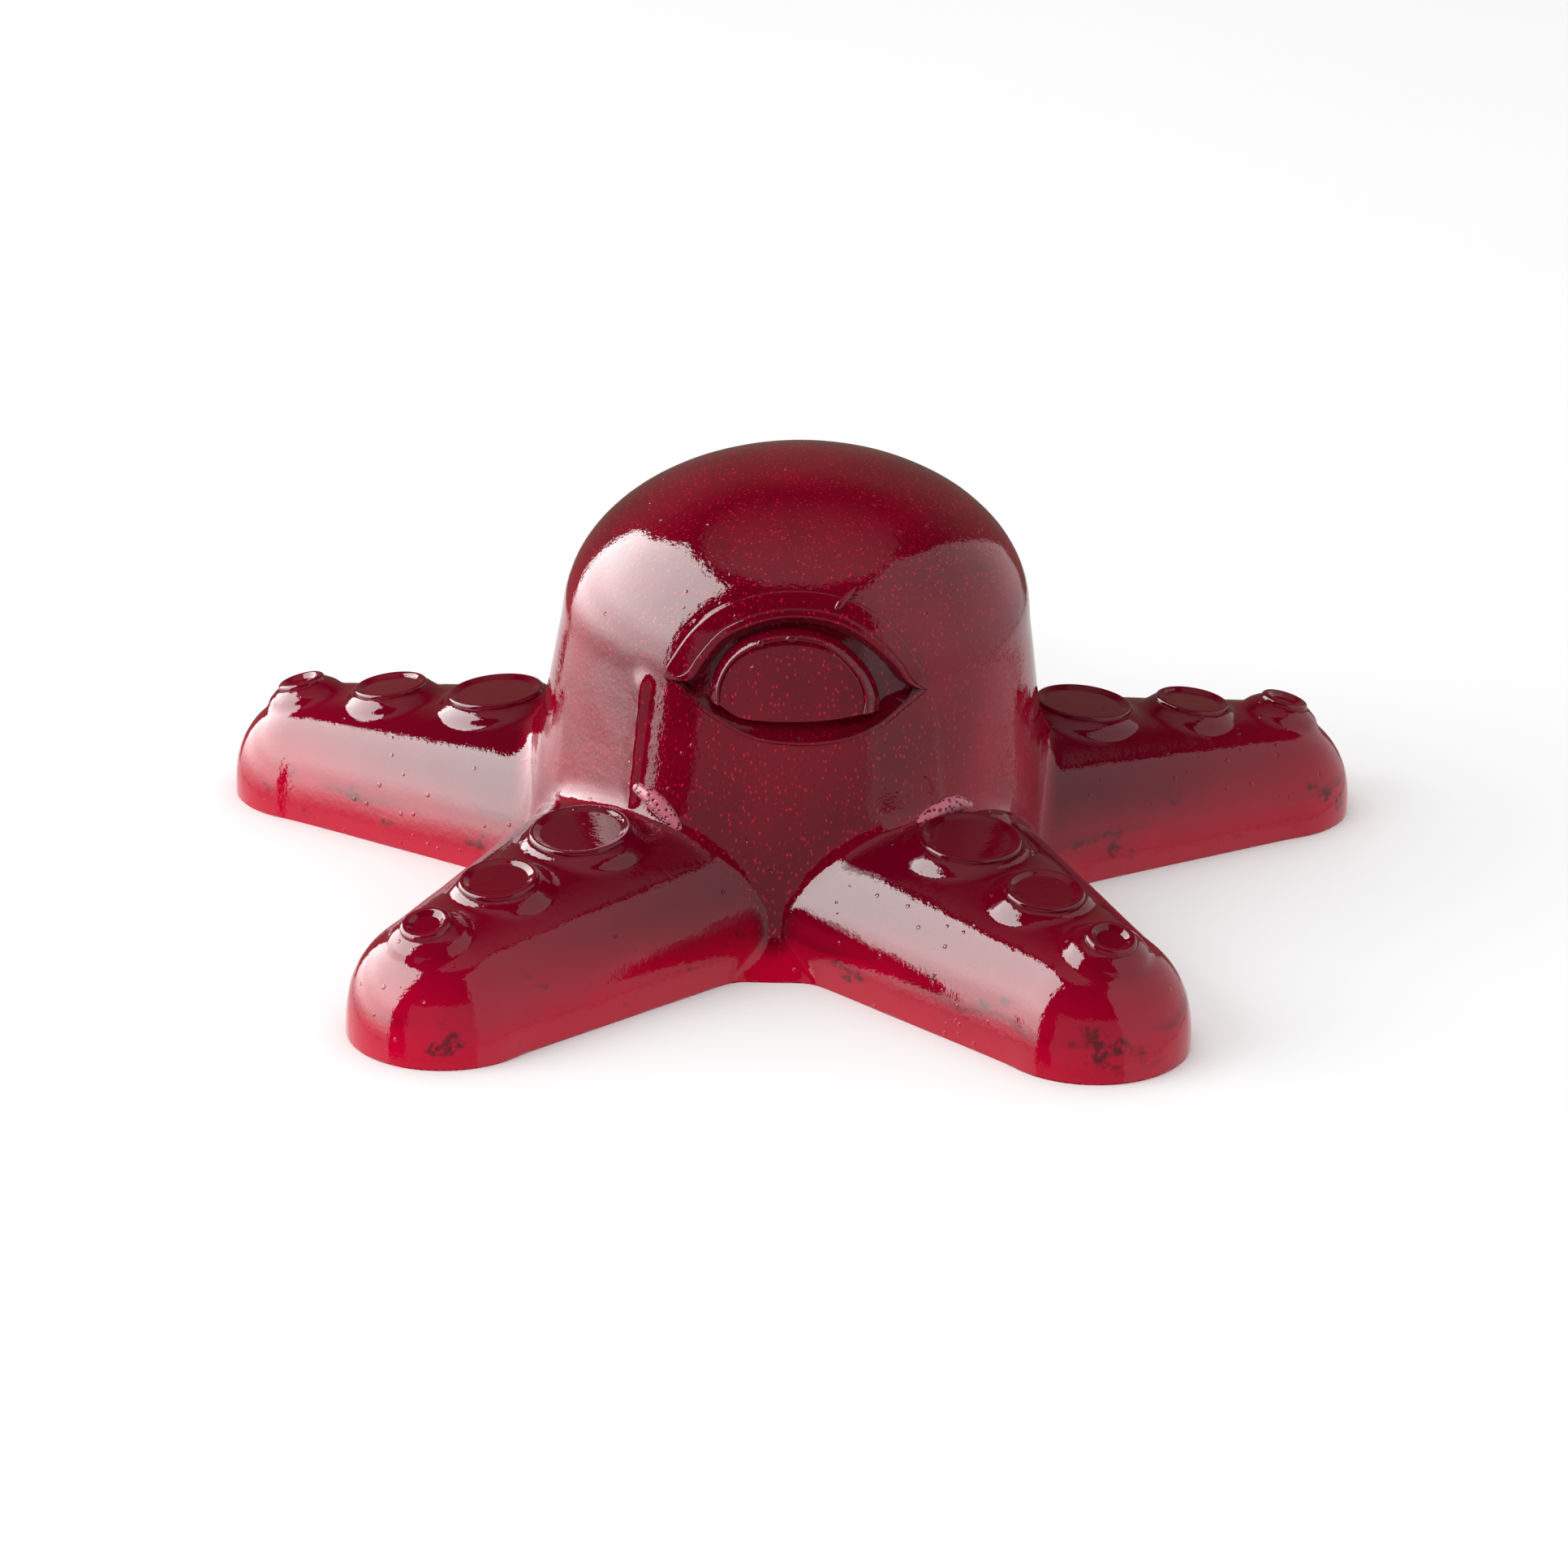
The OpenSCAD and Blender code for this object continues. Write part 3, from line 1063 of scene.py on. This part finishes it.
@dataclass
class EyePlane:
    """The plane that the eye is drawn on, and the skin behind it.

    `across`, `out` and `up` place its middle and `half` is its half size, in millimetres. The skin is felt
    for by lines that start `clear` in front of the plane, except along the lowest `spared` of it.
    """

    across: float = 1.5
    out: float = 22.6
    up: float = 25.0
    tilt: float = 12.0
    half: tuple[float, float] = (14.0, 12.5)
    order: int = 7
    feelers: tuple[int, int] = (41, 35)
    clear: float = 20.0
    spared: float = 4.0

    def __post_init__(self) -> None:
        """Works out the plane's three directions."""
        tilt = math.radians(self.tilt)
        self.origin = np.array((self.across, -self.out, self.up))
        self.right = np.array((1.0, 0.0, 0.0))
        self.upward = np.array((0.0, math.sin(tilt), math.cos(tilt)))
        self.facing = np.array((0.0, -math.cos(tilt), math.sin(tilt)))
        self.depths = np.zeros(1)

    def _powers(self, flat: np.ndarray) -> np.ndarray:
        """The terms of a smooth surface at points of the plane."""
        x, y = flat[:, 0] / self.half[0], flat[:, 1] / self.half[1]
        return np.stack([x**i * y**j for i in range(self.order) for j in range(self.order - i)], axis=1)

    def fit(self, skin: bpy.types.Object) -> None:
        """Fits a smooth surface to the skin behind the plane.

        Args:
            skin: The casting.
        """
        points = [vertex.co for vertex in skin.data.vertices]
        tree = BVHTree.FromPolygons(points, [face.vertices for face in skin.data.polygons])
        flat, depths = [], []
        wide, high = self.half
        for x in np.linspace(-wide, wide, self.feelers[0]):
            for y in np.linspace(-high + self.spared, high, self.feelers[1]):
                start = self.origin + x * self.right + y * self.upward + self.clear * self.facing
                spot, _, _, distance = tree.ray_cast(Vector(start), Vector(-self.facing))
                if spot is not None:
                    flat.append((x, y))
                    depths.append(self.clear - distance)
        self.depths = np.linalg.lstsq(self._powers(np.array(flat)), np.array(depths), rcond=None)[0]

    def wrap(self, flat: np.ndarray, height: np.ndarray) -> np.ndarray:
        """Points on the skin, raised along its normal.

        Args:
            flat: Rows of places on the plane.
            height: How far each is raised.

        Returns:
            Rows of points in space.
        """
        depth = self._powers(flat) @ self.depths
        step = 0.05
        slope_x = (self._powers(flat + (step, 0.0)) @ self.depths - depth) / step
        slope_y = (self._powers(flat + (0.0, step)) @ self.depths - depth) / step
        normal = np.stack((-slope_x, -slope_y, np.ones(len(flat))), axis=1)
        normal *= (height / np.linalg.norm(normal, axis=1))[:, None]
        x, y, z = flat[:, 0] + normal[:, 0], flat[:, 1] + normal[:, 1], depth + normal[:, 2]
        return self.origin + x[:, None] * self.right + y[:, None] * self.upward + z[:, None] * self.facing


Curve = Sequence[tuple[float, float]]
Relief = Callable[[np.ndarray, np.ndarray, np.ndarray], np.ndarray]
PLATE_MERGE = 0.004


@dataclass
class EyePlate:
    """A closed plate between two curves of the eye's plane, with a relief for its face."""

    name: str
    first: Curve
    last: Curve
    relief: Relief
    cells: tuple[int, int] = (180, 44)
    back: float = -2.4

    def build(self, plane: EyePlane) -> bpy.types.Object:
        """Models the plate on the skin.

        Args:
            plane: The eye's plane.

        Returns:
            The plate.
        """
        deselect()
        wide, high = self.cells
        bpy.ops.mesh.primitive_grid_add(x_subdivisions=wide, y_subdivisions=high, size=2.0)
        plate = bpy.context.active_object
        plate.name = self.name
        rows = coordinates(plate)
        along, over = (rows[:, 0] + 1.0) / 2.0, (rows[:, 1] + 1.0) / 2.0
        first, last = smooth_through(self.first, along), smooth_through(self.last, along)
        flat = first + (last - first) * over[:, None]
        set_coordinates(plate, plane.wrap(flat, self.relief(flat, along, over)))
        with editing(plate):
            bpy.ops.mesh.extrude_region_move(TRANSFORM_OT_translate={"value": (0.0, 0.0, 0.0)})
        front = np.zeros(len(plate.data.vertices), bool)
        front[: len(rows)] = True
        back = coordinates(plate)
        back[~front] = self._back_rows(plane, back[~front], coordinates(plate)[: len(rows)], flat)
        set_coordinates(plate, back)
        with editing(plate):
            bpy.ops.mesh.remove_doubles(threshold=PLATE_MERGE)
            bpy.ops.mesh.normals_make_consistent(inside=False)
        return plate

    def _back_rows(
        self, plane: EyePlane, copies: np.ndarray, face: np.ndarray, flat: np.ndarray
    ) -> np.ndarray:
        """The places of the plate's back, straight behind its face.

        Args:
            plane: The eye's plane.
            copies: The back's points, which still lie on the face.
            face: The face's points.
            flat: Their places on the plane.

        Returns:
            The back's points, in the copies' order.
        """
        shift = plane.wrap(flat, np.full(len(flat), self.back)) - face
        order = np.lexsort(np.round(face, 4).T)
        twin = np.lexsort(np.round(copies, 4).T)
        moved = np.empty_like(copies)
        moved[twin] = copies[twin] + shift[order]
        return moved


@dataclass
class Eye:
    """The eye: its two lids, the ring and the iris, and the recess that they sit in.

    Curves are places on the eye's plane and levels are heights over the skin, in millimetres. A relief is
    given the places, how far each lies along the plate and how far over it, and returns their heights.
    """

    plane: EyePlane = field(default_factory=EyePlane)
    lid_foot: Curve = (
        (-12.2, 1.9), (-11.9, 3.4), (-10.3, 6.3), (-7.0, 9.1), (-3.1, 10.5), (-0.1, 10.8), (2.9, 10.6),
        (6.7, 9.3), (10.2, 6.2), (11.9, 3.2), (12.4, 1.1),
    )
    lid_edge: Curve = (
        (-12.0, 1.85), (-9.4, 1.9), (-8.4, 3.4), (-6.4, 5.9), (-3.9, 7.2), (-1.2, 7.9), (1.2, 7.95),
        (4.3, 7.3), (7.0, 5.6), (9.4, 3.3), (10.7, 1.6), (12.25, 1.05),
    )
    ring_foot: Curve = (
        (-8.2, 0.1), (-8.15, 1.3), (-7.6, 3.2), (-6.3, 5.2), (-3.9, 6.8), (-1.2, 7.45), (1.2, 7.4),
        (3.7, 6.6), (6.1, 4.7), (7.8, 2.3), (8.4, 0.5), (8.5, -0.7),
    )
    iris_top: Curve = (
        (-6.9, -0.3), (-6.85, 1.4), (-5.6, 3.9), (-3.85, 5.15), (-2.0, 5.8), (0.3, 6.0), (2.95, 5.4),
        (5.0, 3.8), (6.3, 1.9), (6.65, 0.2), (6.5, -0.9),
    )
    iris_foot: Curve = (
        (-6.85, -0.35), (-5.2, -1.3), (-2.75, -1.58), (-0.3, -1.6), (3.0, -1.45), (6.48, -0.95),
    )
    slope_top: Curve = (
        (-11.7, 1.8), (-8.8, 0.6), (-7.0, -0.6), (-5.2, -1.3), (-2.7, -1.6), (0.0, -1.6), (3.0, -1.5),
        (6.5, -1.2), (7.8, -0.6), (9.2, 0.55), (12.2, 1.15),
    )
    slope_foot: Curve = (
        (-12.0, 1.8), (-10.6, 0.8), (-9.0, -0.5), (-6.5, -2.0), (-3.8, -3.25), (-0.3, -3.75), (3.1, -3.65),
        (6.5, -2.9), (8.2, -2.1), (10.5, -0.35), (12.2, 1.0),
    )
    floor: float = -1.3
    band: float = 0.4
    ring_crest: float = -0.12
    iris_face: float = -0.34
    lip_level: float = 0.05
    recess_share: float = 0.955
    recess_middle: float = 3.0
    recess_levels: tuple[float, float] = (1.5, -2.6)

    def _upper_relief(self, flat: np.ndarray, along: np.ndarray, over: np.ndarray) -> np.ndarray:
        """The upper lid: a slope up to a flat band with a fine crease, then a step into the recess."""
        steps = (0.0, 0.13, 0.16, 0.19, 0.23, 0.70, 0.725, 0.75, 0.92, 0.955, 0.98, 1.0)
        rises = (-0.12, -0.05, 0.75, 0.97, 1.0, 0.68, 0.5, 0.64, 0.5, 0.3, -0.8, self.floor / self.band)
        ends = np.minimum(1.0, np.minimum(along, 1.0 - along) / 0.05)
        return np.interp(over, steps, rises) * self.band * np.sqrt(ends)

    def _ring_relief(self, flat: np.ndarray, along: np.ndarray, over: np.ndarray) -> np.ndarray:
        """The ring: a quarter round that faces outwards, then a fine step down to the iris."""
        steps = (0.0, 0.08, 0.4, 0.7, 0.8, 0.88, 0.94, 1.0)
        rises = (self.floor, -0.95, -0.52, -0.2, -0.13, self.ring_crest, -0.2, self.iris_face - 0.08)
        return np.interp(over, steps, rises)

    def _iris_relief(self, flat: np.ndarray, along: np.ndarray, over: np.ndarray) -> np.ndarray:
        """The iris: a flat face with a soft edge."""
        return self.iris_face + np.interp(over, (0.0, 0.03, 1.0), (-0.05, 0.0, 0.0))

    def _lower_relief(self, flat: np.ndarray, along: np.ndarray, over: np.ndarray) -> np.ndarray:
        """The floor of the recess, and the slope from it up to the lower lid's edge."""
        shares = np.linspace(0.0, 1.0, 200)
        top, foot = smooth_through(self.slope_top, shares), smooth_through(self.slope_foot, shares)
        high = np.interp(flat[:, 0], top[:, 0], top[:, 1])
        low = np.interp(flat[:, 0], foot[:, 0], foot[:, 1])
        share = np.clip((flat[:, 1] - low) / np.maximum(high - low, 0.15), 0.0, 1.0)
        return self.lip_level + (self.floor - self.lip_level) * share**1.15

    def plates(self) -> list[EyePlate]:
        """The four plates, named for the nodes that they stand for."""
        return [
            EyePlate("upper_eyelid", self.lid_foot, self.lid_edge, self._upper_relief),
            EyePlate("lower_eyelid", self.lid_edge, self.slope_foot, self._lower_relief, cells=(180, 90)),
            EyePlate("iris_ring", self.ring_foot, self.iris_top, self._ring_relief, cells=(160, 30)),
            EyePlate("iris", self.iris_top, self.iris_foot, self._iris_relief, cells=(120, 60)),
        ]

    def cut(self, body: bpy.types.Object) -> None:
        """Cuts the recess into the mantle.

        Args:
            body: The mantle.
        """
        middle, share = self.recess_middle, self.recess_share
        face, back = self.recess_levels
        foot, low = (
            [(x * share, middle + (y - middle) * share) for x, y in curve]
            for curve in (self.lid_foot, self.slope_foot)
        )
        cutter = EyePlate("recess", foot, low, lambda flat, *_: np.full(len(flat), face), (60, 24), back)
        tool = cutter.build(self.plane)
        apply(body, "BOOLEAN", object=tool, operation="DIFFERENCE", solver="EXACT")
        bpy.data.objects.remove(tool)


@dataclass
class Bead:
    """A drop that set on the eye: a flattened ball that may run out to a point.

    `centre` is its place on the eye's plane and `half` its half sizes, in millimetres, `turn` its turn in
    degrees, `taper` how much narrower its far end is, and `seat` how high its middle stands on the skin.
    """

    name: str
    centre: tuple[float, float]
    half: Place3
    turn: float = 0.0
    taper: float = 0.0
    seat: float = 0.0

    def build(self, plane: EyePlane) -> bpy.types.Object:
        """Models the drop on the eye's skin.

        Args:
            plane: The eye's plane.

        Returns:
            The drop.
        """
        deselect()
        bpy.ops.mesh.primitive_uv_sphere_add(segments=28, ring_count=16, radius=1.0)
        bead = bpy.context.active_object
        bead.name = self.name
        rows = coordinates(bead)
        narrow = 1.0 - self.taper * (rows[:, 0] + 1.0) / 2.0
        along, over = rows[:, 0] * self.half[0], rows[:, 1] * self.half[1] * narrow
        cos, sin = math.cos(math.radians(self.turn)), math.sin(math.radians(self.turn))
        flat = np.stack((along * cos - over * sin, along * sin + over * cos), axis=1) + self.centre
        set_coordinates(bead, plane.wrap(flat, self.seat + rows[:, 2] * self.half[2] * narrow))
        return bead


@dataclass
class Froth:
    """A strip of froth where the mantle meets an inner sucker.

    `path` gives degrees from the front and heights, and `sizes` the balls' radii along it.
    """

    name: str
    path: Sequence[tuple[float, float]]
    sizes: Sequence[float]
    balls_per_size: int = 3
    voxel: float = 0.14
    rubs: int = 10

    def build(self, mantle: MantleForm) -> bpy.types.Object:
        """Models the strip from balls that run into one another.

        Args:
            mantle: The mantle whose foot the strip lies along.

        Returns:
            The strip.
        """
        balls = []
        places = np.linspace(0.0, 1.0, self.balls_per_size * len(self.sizes))
        spots = smooth_through(self.path, places)
        sizes = np.interp(places, np.linspace(0.0, 1.0, len(self.sizes)), self.sizes)
        for (azimuth, height), size in zip(spots, sizes):
            turn = math.radians(azimuth)
            radius = mantle.skirt + (mantle.shoulder - mantle.skirt) * height / mantle.shoulder_at
            place = (radius * math.sin(turn) + mantle.lean * height, -radius * math.cos(turn), height)
            deselect()
            bpy.ops.mesh.primitive_uv_sphere_add(
                segments=20, ring_count=12, radius=float(size), location=place
            )
            balls.append(settle(bpy.context.active_object))
        strip = joined(balls, self.name)
        apply(strip, "REMESH", mode="VOXEL", voxel_size=self.voxel)
        return apply(strip, "SMOOTH", factor=0.5, iterations=self.rubs)


BEADS = (
    Bead("drip", (4.6, 9.7), (1.35, 0.5, 0.42), turn=46.0, taper=0.65, seat=0.28),
    Bead("drop_left", (-3.1, 5.75), (0.42, 0.36, 0.32), turn=60.0, seat=-0.08),
    Bead("drop_right", (-0.2, 6.25), (0.6, 0.36, 0.3), turn=0.0, seat=-0.12),
)
FROTHS = (
    Froth("froth_left", ((-34.0, 15.4), (-31.0, 15.0), (-28.0, 14.3), (-25.0, 13.4), (-22.5, 12.5)),
          (0.6, 0.85, 0.95, 0.85, 0.5)),
    Froth("froth_right", ((26.5, 11.0), (29.5, 11.9), (33.0, 12.8), (37.0, 13.6), (41.0, 13.8), (45.0, 13.2)),
          (0.6, 1.0, 1.1, 1.0, 0.85, 0.5)),
)


# ---------------------------------------------------------------- finishing and placing


def finished(
    piece: bpy.types.Object, material: bpy.types.Material, slot: Slot, *nodes: str
) -> bpy.types.Object:
    """Brings a piece to metres, dresses it and hands it to the frame.

    Args:
        piece: The piece, in millimetres.
        material: Its material.
        slot: The record's slot that its finish comes from; not used.
        nodes: The frame's nodes that it stands for.

    Returns:
        The same piece.
    """
    piece.data.transform(Matrix.Scale(MM, 4))
    piece.data.materials.clear()
    piece.data.materials.append(material)
    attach(piece, BODY)
    if nodes:
        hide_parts(*nodes)
    log.info("%s: %d faces", piece.name, len(piece.data.polygons))
    return piece


# ---------------------------------------------------------------- the studio


# Each card's name, its two sides and lower edge in degrees, its upper edge and its brightness.
CARDS = (
    ("softbox_left", (-61.0, -139.0), -14.0, (60.0, 60.5, 59.0, 52.0, 27.0), (1.2, 6.5, 10.0)),
    ("reflector_right", (36.0, 151.0), -14.0, (58.0, 62.0, 62.0, 59.0, 40.0, 4.0), (0.7, 0.9, 0.9)),
    ("reflector_front", (-42.0, 36.0), -20.0, (24.0, 26.0, 26.0), (0.4, 0.45, 0.45)),
    ("table_left", (-61.0, -180.0), -60.0, (-14.5,), (1.0, 1.0, 1.0)),
    ("table_right", (36.0, 180.0), -60.0, (-14.5,), (0.8, 0.8, 0.8)),
    ("table_front", (-60.0, 35.0), -60.0, (-20.5,), (0.5, 0.45, 0.42)),
)


@dataclass
class Studio:
    """A pale floor, soft light and the cards that the gloss mirrors.

    Lengths are in metres and angles in degrees. `reach` is the cards' distance from the figure.
    """

    floor_half: float = 3.0
    floor_drop: float = 0.00002
    floor_tones: tuple[Colour, Colour] = ((0.86, 0.86, 0.86, 1.0), (0.88, 0.88, 0.88, 1.0))
    reach: float = 0.9
    ceiling_spread: float = 29.0
    ceiling_tilt: float = -11.0
    ceiling_glow: float = 0.55
    room_radius: float = 1.4
    room_colour: Colour = (1.0, 0.9, 0.75, 1.0)
    room_glow: float = 0.15
    daylight: float = 0.7

    def card(
        self, name: str, azimuth: tuple[float, float], low: float,
        tops: Sequence[float], glow: Sequence[float],
    ) -> bpy.types.Object:
        """A curved card that is seen only in reflections.

        Args:
            name: The card's name.
            azimuth: Its two edges, in degrees from the front towards +X.
            low: Its lower edge, in degrees above the floor.
            tops: Its upper edge, from the one side to the other at even steps.
            glow: Its brightness at its lower edge, a quarter of the way up and from half way up.

        Returns:
            The card.
        """
        deselect()
        bpy.ops.mesh.primitive_grid_add(x_subdivisions=36, y_subdivisions=16, size=2.0)
        card = bpy.context.active_object
        card.name = name
        rows = coordinates(card)
        across, over = (rows[:, 0] + 1.0) / 2.0, (rows[:, 1] + 1.0) / 2.0
        turn = np.radians(azimuth[0] + (azimuth[1] - azimuth[0]) * across)
        top = np.interp(across, np.linspace(0.0, 1.0, len(tops)), tops)
        rise = np.radians(low + (top - low) * over)
        out = np.stack((np.sin(turn) * np.cos(rise), -np.cos(turn) * np.cos(rise), np.sin(rise)), axis=1)
        set_coordinates(card, out * self.reach)
        levels = (low + (max(tops) - low) * share for share in (0.0, 0.25, 0.5))
        heights = [self.reach * math.sin(math.radians(level)) for level in levels]
        card.data.materials.append(self.graded(name, heights, glow))
        self.mirrored_only(card)
        return card

    def graded(self, name: str, heights: Sequence[float], glow: Sequence[float]) -> bpy.types.Material:
        """A glow that changes with height.

        Args:
            name: The material's name.
            heights: Three heights, in metres.
            glow: The brightness at each.

        Returns:
            The material.
        """
        bench = Bench(name)
        height = bench.place()[1]
        level = height.ramp(heights[0], heights[1], glow[0], glow[1])
        level = level + height.ramp(heights[1], heights[2], 0.0, glow[2] - glow[1])
        peak = max(glow)
        return self.glowing(bench, level * (1.0 / peak), WHITE, peak)

    def glowing(self, bench: Bench, level: Wire, colour: Colour, strength: float) -> bpy.types.Material:
        """A glow of one colour.

        Args:
            bench: The material's bench.
            level: Its brightness over the surface, from 0 to 1.
            colour: Its colour.
            strength: Its brightness where the level is 1.

        Returns:
            The material.
        """
        shown = bench.blend(level, BLACK, colour)
        return bench.shade(
            Base_Color=BLACK, Specular_IOR_Level=0.0, Emission_Color=shown, Emission_Strength=strength
        )

    def ceiling(self) -> None:
        """The dim ceiling patch that the crown mirrors."""
        deselect()
        radius = self.reach * math.tan(math.radians(self.ceiling_spread))
        bpy.ops.mesh.primitive_circle_add(vertices=64, radius=radius, fill_type="NGON")
        patch = bpy.context.active_object
        patch.name = "ceiling"
        patch.location = (0.0, 0.0, self.reach)
        settle(patch)
        patch.rotation_euler = (math.radians(self.ceiling_tilt), 0.0, 0.0)
        settle(patch)
        bench = Bench("ceiling")
        front = bench.axes()[1].ramp(-0.2, 0.75, 1.0, 0.0)
        patch.data.materials.append(self.glowing(bench, front, WHITE, self.ceiling_glow))
        self.mirrored_only(patch)

    def mirrored_only(self, thing: bpy.types.Object) -> None:
        """Makes a thing show in reflections only.

        Args:
            thing: The card, patch or room.
        """
        thing.visible_camera = False
        thing.visible_diffuse = False
        thing.visible_transmission = False
        thing.visible_volume_scatter = False
        thing.visible_shadow = False

    def surround(self) -> None:
        """The dark room that the gloss mirrors where there is no card."""
        deselect()
        bpy.ops.mesh.primitive_uv_sphere_add(segments=32, ring_count=16, radius=self.room_radius)
        room = bpy.context.active_object
        room.name = "room"
        bench = Bench("room")
        _, rear, lift = bench.axes()
        level = rear.ramp(0.5, 1.1) * lift.ramp(0.7, 1.05, 1.0, 0.0) * 0.8 + 0.2
        room.data.materials.append(self.glowing(bench, level, self.room_colour, self.room_glow))
        self.mirrored_only(room)

    def floor(self) -> None:
        """The pale floor."""
        deselect()
        bpy.ops.mesh.primitive_plane_add(size=2 * self.floor_half, location=(0.0, 0.0, -self.floor_drop))
        floor = settle(bpy.context.active_object)
        floor.name = "floor"
        bench = Bench("pale_floor")
        tone = bench.blend(bench.noise(8.0), *self.floor_tones)
        floor.data.materials.append(bench.shade(Base_Color=tone, Roughness=0.9, Specular_IOR_Level=0.1))
        floor.visible_glossy = False

    def light(self) -> None:
        """The soft overhead light and the pale surroundings."""
        world = bpy.data.worlds.new("pale_room")
        bpy.context.scene.world = world
        world.use_nodes = True
        sky = world.node_tree.nodes["Background"]
        sky.inputs[0].default_value = WHITE
        sky.inputs[1].default_value = self.daylight
        self.lamp("overhead", (0.0, 0.1, 0.9), 1.2, 3.6)
        self.lamp("side_left", (-0.85, -0.25, 0.5), 0.7, 5.5)

    def lamp(self, name: str, place: Place3, size: float, watts: float) -> None:
        """A soft lamp aimed at the figure that the gloss doesn't mirror.

        Args:
            name: The lamp's name.
            place: Where it stands, in metres.
            size: Its side, in metres.
            watts: Its power.
        """
        data = bpy.data.lights.new(name, "AREA")
        data.size = size
        data.energy = watts
        lamp = bpy.data.objects.new(name, data)
        lamp.location = place
        lamp.rotation_euler = (-Vector(place)).to_track_quat("-Z", "Y").to_euler()
        lamp.visible_glossy = False
        lamp.visible_camera = False
        bpy.context.scene.collection.objects.link(lamp)

    def build(self) -> None:
        """Sets the whole studio up."""
        self.floor()
        self.light()
        self.surround()
        self.ceiling()
        for name, azimuth, low, tops, glow in CARDS:
            self.card(name, azimuth, low, tops, glow)


@dataclass
class View:
    """The camera: a long lens looking down at the figure's front.

    Its distance and the shift of its aim are in metres, its angles in degrees, its lens in millimetres.
    """

    distance: float = 0.464
    elevation: float = 22.81
    turn: float = 2.03
    roll: float = 0.35
    right: float = 0.00006
    up: float = -0.00705
    lens: float = 107.9
    sensor: float = 36.0
    near: float = 0.01

    def build(self) -> None:
        """Places the camera and makes it the scene's."""
        camera = bpy.data.objects.new("camera", bpy.data.cameras.new("camera"))
        bpy.context.scene.collection.objects.link(camera)
        camera.data.lens = self.lens
        camera.data.sensor_width = self.sensor
        camera.data.clip_start = self.near
        aim = Matrix.Rotation(math.radians(self.turn), 4, "Z")
        aim = aim @ Matrix.Rotation(math.radians(90.0 - self.elevation), 4, "X")
        aim = aim @ Matrix.Rotation(math.radians(self.roll), 4, "Z")
        place = aim.to_3x3() @ Vector((-self.right, -self.up, self.distance))
        camera.matrix_world = Matrix.Translation(place) @ aim
        bpy.context.scene.camera = camera
        bpy.context.scene.view_settings.view_transform = "Standard"


# ---------------------------------------------------------------- the figure


# For each place on an arm: along, rim, foot, rise, dish, lean and lip, as SuckerForm names them.
SUCKER_SIZES: dict[Seat, tuple[float, ...]] = {
    Seat.INNER: (30.7, 4.85, 5.9, 1.0, 1.1, 6.0, 0.34),
    Seat.MIDDLE: (42.2, 3.75, 4.7, 1.1, 1.0, 8.0, 0.36),
    Seat.OUTER: (52.0, 2.45, 3.6, 1.2, 0.9, 16.0, 0.5),
}


@dataclass
class Octopus:
    """The whole figure."""

    mantle: MantleForm = field(default_factory=MantleForm)
    arms: ArmForm = field(default_factory=ArmForm)
    parting: Parting = field(default_factory=Parting)
    eye: Eye = field(default_factory=Eye)

    def build(self) -> None:
        """Builds, parts and dresses every piece."""
        suckers = [SuckerForm(arm, seat, *SUCKER_SIZES[seat]) for arm in Arm for seat in Seat]
        casting = Casting(self.mantle, self.arms, suckers).sculpt()
        cast = CastRed().material()
        # A darkened copy of the casting's material: painted shade for the lower eyelid's slope in the recess.
        shaded_lid = CastRed(name="lid_painted_shade_red", shade=0.62, flake_share=0.7).material()
        body = self.parting.mantle(casting)
        self.eye.plane.fit(casting)
        self.eye.cut(body)
        with_normals_of(body, casting)
        finished(body, cast, Slot.SHIMMER, "mantle")
        for plate in self.eye.plates():
            piece = smoothed(plate.build(self.eye.plane), CORNER_ANGLE)
            # The lower eyelid gets the painted shade copy.
            finished(piece, shaded_lid if plate.name == "lower_eyelid" else cast, Slot.EYE, plate.name)
            piece.name = f"{plate.name}_casting"
        for bead in BEADS:
            finished(smoothed(bead.build(self.eye.plane)), cast, Slot.EYE)
        froth = FrothRed().material()
        for strip in FROTHS:
            finished(smoothed(strip.build(self.mantle)), froth, Slot.CLEAR)
        for arm in Arm:
            piece = with_normals_of(self.parting.arm(casting, arm), casting)
            finished(piece, cast, Slot.CLEAR, f"arm_{arm.title}")
        for sucker in suckers:
            finished(smoothed(sucker.cup(self.arms)), cast, Slot.SUCKER, sucker.title)
        bpy.data.objects.remove(casting)


def main() -> None:
    """Builds the figure, its studio and its camera."""
    logging.basicConfig(level=logging.INFO, format="%(message)s")
    Octopus().build()
    Studio().build()
    View().build()


if __name__ == "__main__":
    main()
